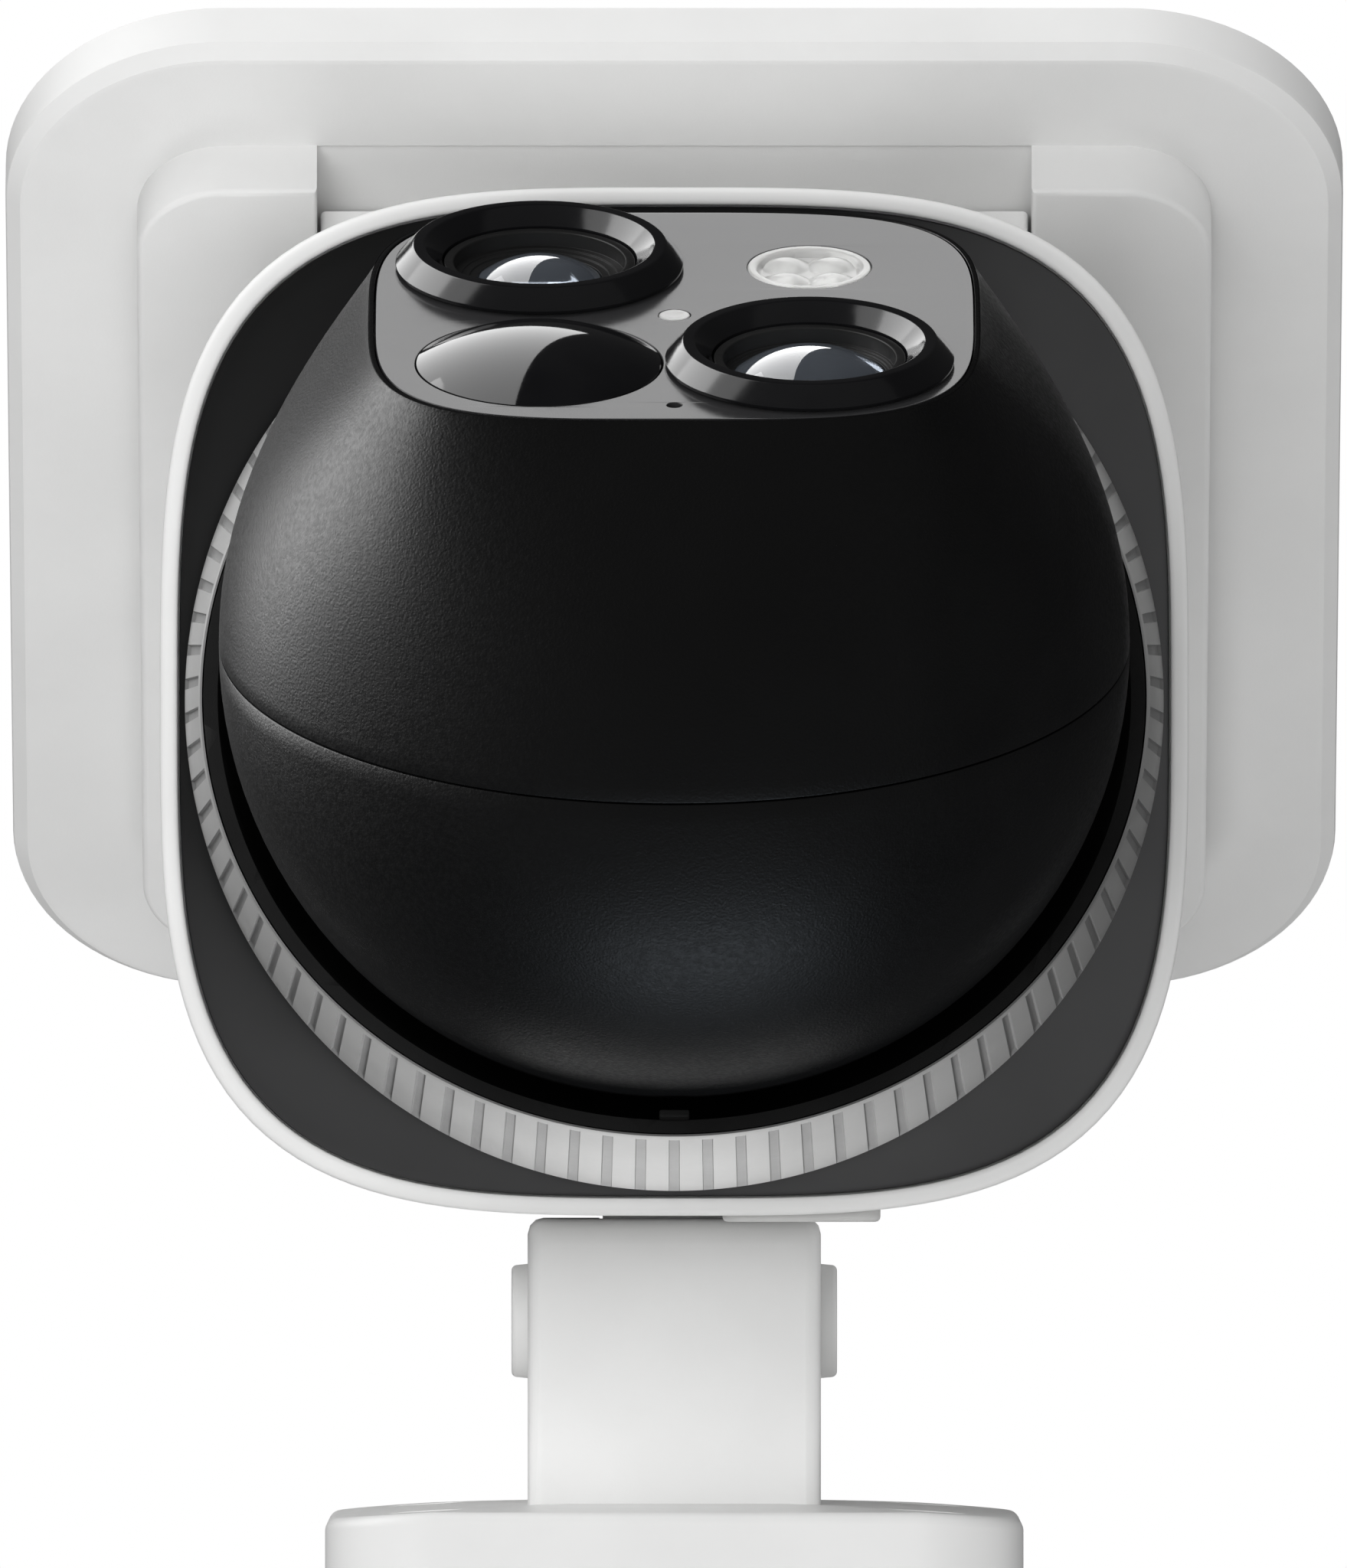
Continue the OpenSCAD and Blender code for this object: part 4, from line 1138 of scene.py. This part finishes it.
def panel_back_block():
    """Hollow raised back, open in the middle of its front edge for the hinge bracket."""
    corner_r, edge_r, slot_r, floor_t, hollow_a = 8.2, 0.55, 1.2, 1.8, 45
    a, s = BLOCK_A, SLOT_A
    outline = round_rect(a, a, corner_r, 16)
    far = [p for p in outline if p[1] > 0]
    near_left = [p for p in outline if p[1] < 0 and p[0] < 0]
    near_right = [p for p in outline if p[1] < 0 and p[0] > 0]
    slot = [(-s, -a), (-s, SLOT_END), (s, SLOT_END), (s, -a)]
    points = far + near_left + filleted(slot, [0, slot_r, slot_r, 0], closed=False) + near_right
    mesh = cut_sheet("block", points, [], -BLOCK_T, 1.0, edge_r, AT_PANEL)
    above = box_mesh((-60, -60, 0.02), (60, 60, 3), AT_PANEL)
    bore = rod_mesh(HINGE_BORE, -38, 38, AT_PANEL @ at(0, HINGE_S, HINGE_N) @ turned(90, "Y"))
    hollow = box_mesh((-hollow_a, SLOT_END + 3, -BLOCK_T + floor_t), (hollow_a, hollow_a, 1), AT_PANEL)
    panel_piece("panel_back_raised", combined(mesh, [above, bore, hollow]), "panel_back_block")


def solar_cells():
    """Rows of dark cells with cut corners, on a black backing, with bus wires along them."""
    inset, backing_top, tile_top, wire_top, finger_top = 4, 3.8, 3.9, 3.95, 3.92
    outline = panel_outline(PANEL_A - inset, PANEL_CORNER - inset)
    backing = cut_sheet("backing", outline, [], CELLS_Z, backing_top, 0.02, AT_PANEL)
    piece("solar_backing", backing, "panel", "solar_cell", ["solar_cells"], FINISHES["rubber_seal"])
    rows, half, spacing, cut = 6, 8.85, 18.3, 1.6
    fingers, finger_half, finger_end = 12, 0.04, 0.3
    wire_from_middle, wire_half = 3.1, 0.25
    tiles, wires = [], []
    for i in range(rows):
        for j in range(rows):
            if i in (0, rows - 1) and j in (0, rows - 1):
                continue
            x, y = (i - (rows - 1) / 2) * spacing, (j - (rows - 1) / 2) * spacing
            outline = [(x + tile_x, y + tile_y) for tile_x, tile_y in round_rect(half, half, cut, 1)]
            rings = [lifted(outline, backing_top), lifted(outline, tile_top)]
            tiles.append(rings_mesh("tile", rings, AT_PANEL))
            for wire_x in (x - wire_from_middle, x + wire_from_middle):
                low = (wire_x - wire_half, y - half, tile_top)
                high = (wire_x + wire_half, y + half, wire_top)
                wires.append(box_mesh(low, high, AT_PANEL))
            for finger in range(1, fingers):
                finger_y = y - half + finger * 2 * half / fingers
                low = (x - half + finger_end, finger_y - finger_half, tile_top)
                high = (x + half - finger_end, finger_y + finger_half, finger_top)
                wires.append(box_mesh(low, high, AT_PANEL))
    piece("solar_tiles", joined("tiles", tiles), "panel", "solar_cell")
    piece("solar_wires", joined("wires", wires), "panel", "steel")


def panel_glass():
    """Glass over the cells, a little below the frame's lip."""
    inset, glass_z, below_lip, edge_r = 3.2, 4.0, 0.1, 0.25
    outline = panel_outline(PANEL_A - inset, PANEL_CORNER - inset)
    mesh = cut_sheet("glass", outline, [], glass_z, PANEL_T - below_lip, edge_r, AT_PANEL)
    piece("panel_cover_glass", mesh, "panel", "panel_glass", ["panel_glass"], flat_sided=True)


def panel_bracket():
    """Hinge bracket on the housing's top, with soft edges."""
    foot = TOP_Z - HINGE.z
    eye_r, gap, edge_r = 3.1, 0.3, 0.5
    half = SLOT_A - gap
    outline = [(-5, foot), (-5, -0.62)]
    for t in range(135, 89, -9):
        outline.append((eye_r * math.cos(math.radians(t)), eye_r * math.sin(math.radians(t))))
    outline += [(2.5, eye_r), (9.5, foot)]
    radii = [0, 0.8] + [0] * (len(outline) - 4) + [1.5, 0.3]
    side_view = Matrix(((0, 0, 1, 0), (1, 0, 0, 0), (0, 1, 0, 0), (0, 0, 0, 1)))
    mesh = cut_sheet("bracket", filleted(outline, radii), [], -half, half, edge_r, AT_HINGE @ side_view)
    bore = rod_mesh(HINGE_BORE, -40, 40, AT_HINGE @ turned(90, "Y"))
    mesh = combined(mesh, [bore])
    piece("panel_bracket_soft", mesh, "housing", "white_plastic", ["panel_bracket"], flat_sided=True)


# ---------- stage ----------

FILL = 0.14
REFLECTED_FILL = 0.03
STAGE_MIDDLE = Vector((0, -0.08, -0.02))

# Pieces that lights are linked to
HEAD_SHELLS = ["ball_front", "ball_rear"]
COLLAR = ["collar_ribbed"]
FACE = ["housing_face"]


def camera():
    """Looks straight up at the object, with the wall at the bottom of the picture."""
    data = bpy.data.cameras.new("camera")
    obj = add_object("camera", data)
    middle_x, middle_y, middle_z = -0.07 * MM, -71.55 * MM, 25 * MM
    distance, field, sensor = 5.0, 143.36 * MM, 36
    data.sensor_width = sensor
    data.lens = sensor / 2 * distance / (field / 2)
    data.clip_start = 0.1
    data.clip_end = 100
    obj.location = (middle_x, middle_y, middle_z - distance)
    obj.rotation_euler = (math.pi, 0, 0)
    bpy.context.scene.camera = obj


def pale_world():
    """Even pale fill for matt surfaces, a dim one for reflections, and plain white behind the object."""
    world = bpy.data.worlds.new("world")
    bpy.context.scene.world = world
    world.use_nodes = True
    nodes, links = world.node_tree.nodes, world.node_tree.links
    nodes.clear()
    out = nodes.new("ShaderNodeOutputWorld")
    path = nodes.new("ShaderNodeLightPath")
    last = None
    for ray, strength in ((None, REFLECTED_FILL), ("Is Diffuse Ray", FILL), ("Is Camera Ray", 1.0)):
        background = nodes.new("ShaderNodeBackground")
        background.inputs["Color"].default_value = (1, 1, 1, 1)
        background.inputs["Strength"].default_value = strength
        if last is None:
            last = background
            continue
        mix = nodes.new("ShaderNodeMixShader")
        links.new(path.outputs[ray], mix.inputs[0])
        links.new(last.outputs[0], mix.inputs[1])
        links.new(background.outputs[0], mix.inputs[2])
        last = mix
    links.new(last.outputs[0], out.inputs["Surface"])


def floor():
    """Plain pale floor, far below the object."""
    finish = Finish("floor")
    finish.colour(finish.noise(400, 3), (0.78, 0.78, 0.78), (0.82, 0.82, 0.82))
    finish.roughness(finish.noise(200, 3), 0.6, 0.75)
    half, height = 40000, -14500
    corners = [(-half, -half), (half, -half), (half, half), (-half, half)]
    mesh = mesh_of("floor", lifted(corners, height), [(0, 1, 2, 3)])
    mesh.materials.append(finish.material)
    add_object("floor", mesh)


def soft_box(name, direction, distance, size, radiance, glossy=True):
    """A soft box of this radiance, this far in metres from the object, which may not show in gloss."""
    place = STAGE_MIDDLE + Vector(direction).normalized() * distance
    data = bpy.data.lights.new(name, "AREA")
    data.shape = "RECTANGLE"
    data.size, data.size_y = size
    data.energy = radiance * math.pi * size[0] * size[1]
    obj = add_object(name, data)
    obj.location = place
    obj.rotation_mode = "QUATERNION"
    obj.rotation_quaternion = (STAGE_MIDDLE - place).to_track_quat("-Z", "Y")
    obj.visible_camera = False
    obj.visible_glossy = glossy
    return obj


def pieces_collection(name, names, state="INCLUDE"):
    """A collection for light linking that includes or excludes these pieces."""
    group = bpy.data.collections.new(name)
    for piece_name in names:
        group.objects.link(bpy.data.objects[piece_name])
    for entry in group.collection_objects:
        entry.light_linking.link_state = state
    return group


def shine_on(light, names):
    """The light falls on these pieces alone."""
    light.light_linking.receiver_collection = pieces_collection(light.name + "_receivers", names)


def shine_past_panel(light, names):
    """The light falls on these pieces alone, and only the ball shades it."""
    shine_on(light, names)
    light.light_linking.blocker_collection = pieces_collection(light.name + "_blockers", HEAD_SHELLS)


def keep_off(light, names):
    """The light falls on everything but these pieces."""
    light.light_linking.receiver_collection = pieces_collection(light.name + "_receivers", names, "EXCLUDE")


def studio_lights():
    """Soft boxes all round the object. Only the left one shows in glossy surfaces."""
    left = soft_box("left_key", (-0.75, -0.65, 0.02), 1.6, (1.3, 1.6), 2.0)
    back = soft_box("back", (-0.1, 0.95, -0.2), 1.5, (1.2, 0.6), 3.2, glossy=False)
    below = soft_box("below", (-0.20, -0.12, -0.95), 1.2, (1.0, 1.0), 4.1, glossy=False)
    soft_box("front", (0.0, -0.9, 0.1), 1.8, (1.2, 0.9), 3.2, glossy=False)
    soft_box("top", (-0.1, 0.35, 0.93), 1.6, (1.2, 1.2), 2.6, glossy=False)
    right = soft_box("right", (0.95, 0.1, 0.05), 1.6, (1.2, 1.2), 1.8, glossy=False)
    keep_off(left, HEAD_SHELLS)
    keep_off(back, COLLAR)
    keep_off(right, COLLAR)
    keep_off(below, FACE + COLLAR + HEAD_SHELLS)


def underside_lights():
    """Lights for the black underside, the collar and the ball alone."""
    face = soft_box("face_light", (0.5, 0.5, -0.7), 0.5, (0.25, 0.25), 9.5, glossy=False)
    shine_on(face, FACE)
    collar = soft_box("collar_light", (-0.02, 0.9, -0.35), 0.115, (0.03, 0.03), 9.5, glossy=False)
    shine_on(collar, COLLAR)
    ball_left = soft_box("ball_left", (-0.90, -0.30, 0.22), 1.3, (0.9, 1.5), 4.6)
    shine_on(ball_left, HEAD_SHELLS)
    ball_back = soft_box("ball_back", (0.1, 0.97, -0.08), 1.3, (0.9, 0.4), 1.7)
    ball_back.data.color = (0.80, 0.90, 1.0)
    shine_on(ball_back, HEAD_SHELLS)


def lens_plate_lights():
    """Large cards that the glossy pieces at the front reflect."""
    card = soft_box("plate_card", (0.20, -0.64, 0.75), 0.6, (0.44, 0.7), 1.6)
    shine_past_panel(card, ["lens_plate_glossy", "spotlight_lobes", "light_window_clear"])
    dome = soft_box("dome_light", (-0.46, -0.74, 0.42), 0.9, (0.95, 1.3), 2.8)
    shine_past_panel(dome, ["pir_dome"])
    glass = soft_box("glass_light", (-0.40, -0.70, 0.50), 0.9, (0.8, 1.3), 6.0)
    shine_past_panel(glass, ["wide_glass_dome", "tele_glass_dome"])
    ring = soft_box("ring_light", (-0.72, -0.52, 0.40), 0.9, (0.75, 1.1), 3.6)
    shine_past_panel(ring, ["wide_ring_round", "tele_ring_round"])


# ---------- assembly ----------

camera()
pale_world()
floor()

wall_bracket()
pivot_caps()
body_shell()
top_cover()
face_plate()
port_flap()
sync_button()
pan_collar()
bowl_tab()
head_front()
head_rear()
lens_plate()
for lens_name, lens_at, lens_r in (("wide", WIDE_AT, WIDE_R), ("tele", TELE_AT, TELE_R)):
    lens_ring(lens_name, lens_at)
    lens_barrel(lens_name, lens_at, lens_r)
    lens_glass(lens_name, lens_at, lens_r)
lens_inside("wide", WIDE_AT, WIDE_R, 2.6, WIDE_COATING)
lens_inside("tele", TELE_AT, TELE_R, 1.3, TELE_COATING)
pir_dome()
spotlight()
light_window()
panel_frame()
panel_back_block()
solar_cells()
panel_glass()
panel_bracket()

for node_name, node_object in frame["nodes"].items():
    if not node_object.hide_render:
        refine_cad_node(node_name, 0.0 if node_name in TOOTHED else NODE_BEVEL)

studio_lights()
underside_lights()
lens_plate_lights()

bpy.context.scene.view_settings.view_transform = "Standard"
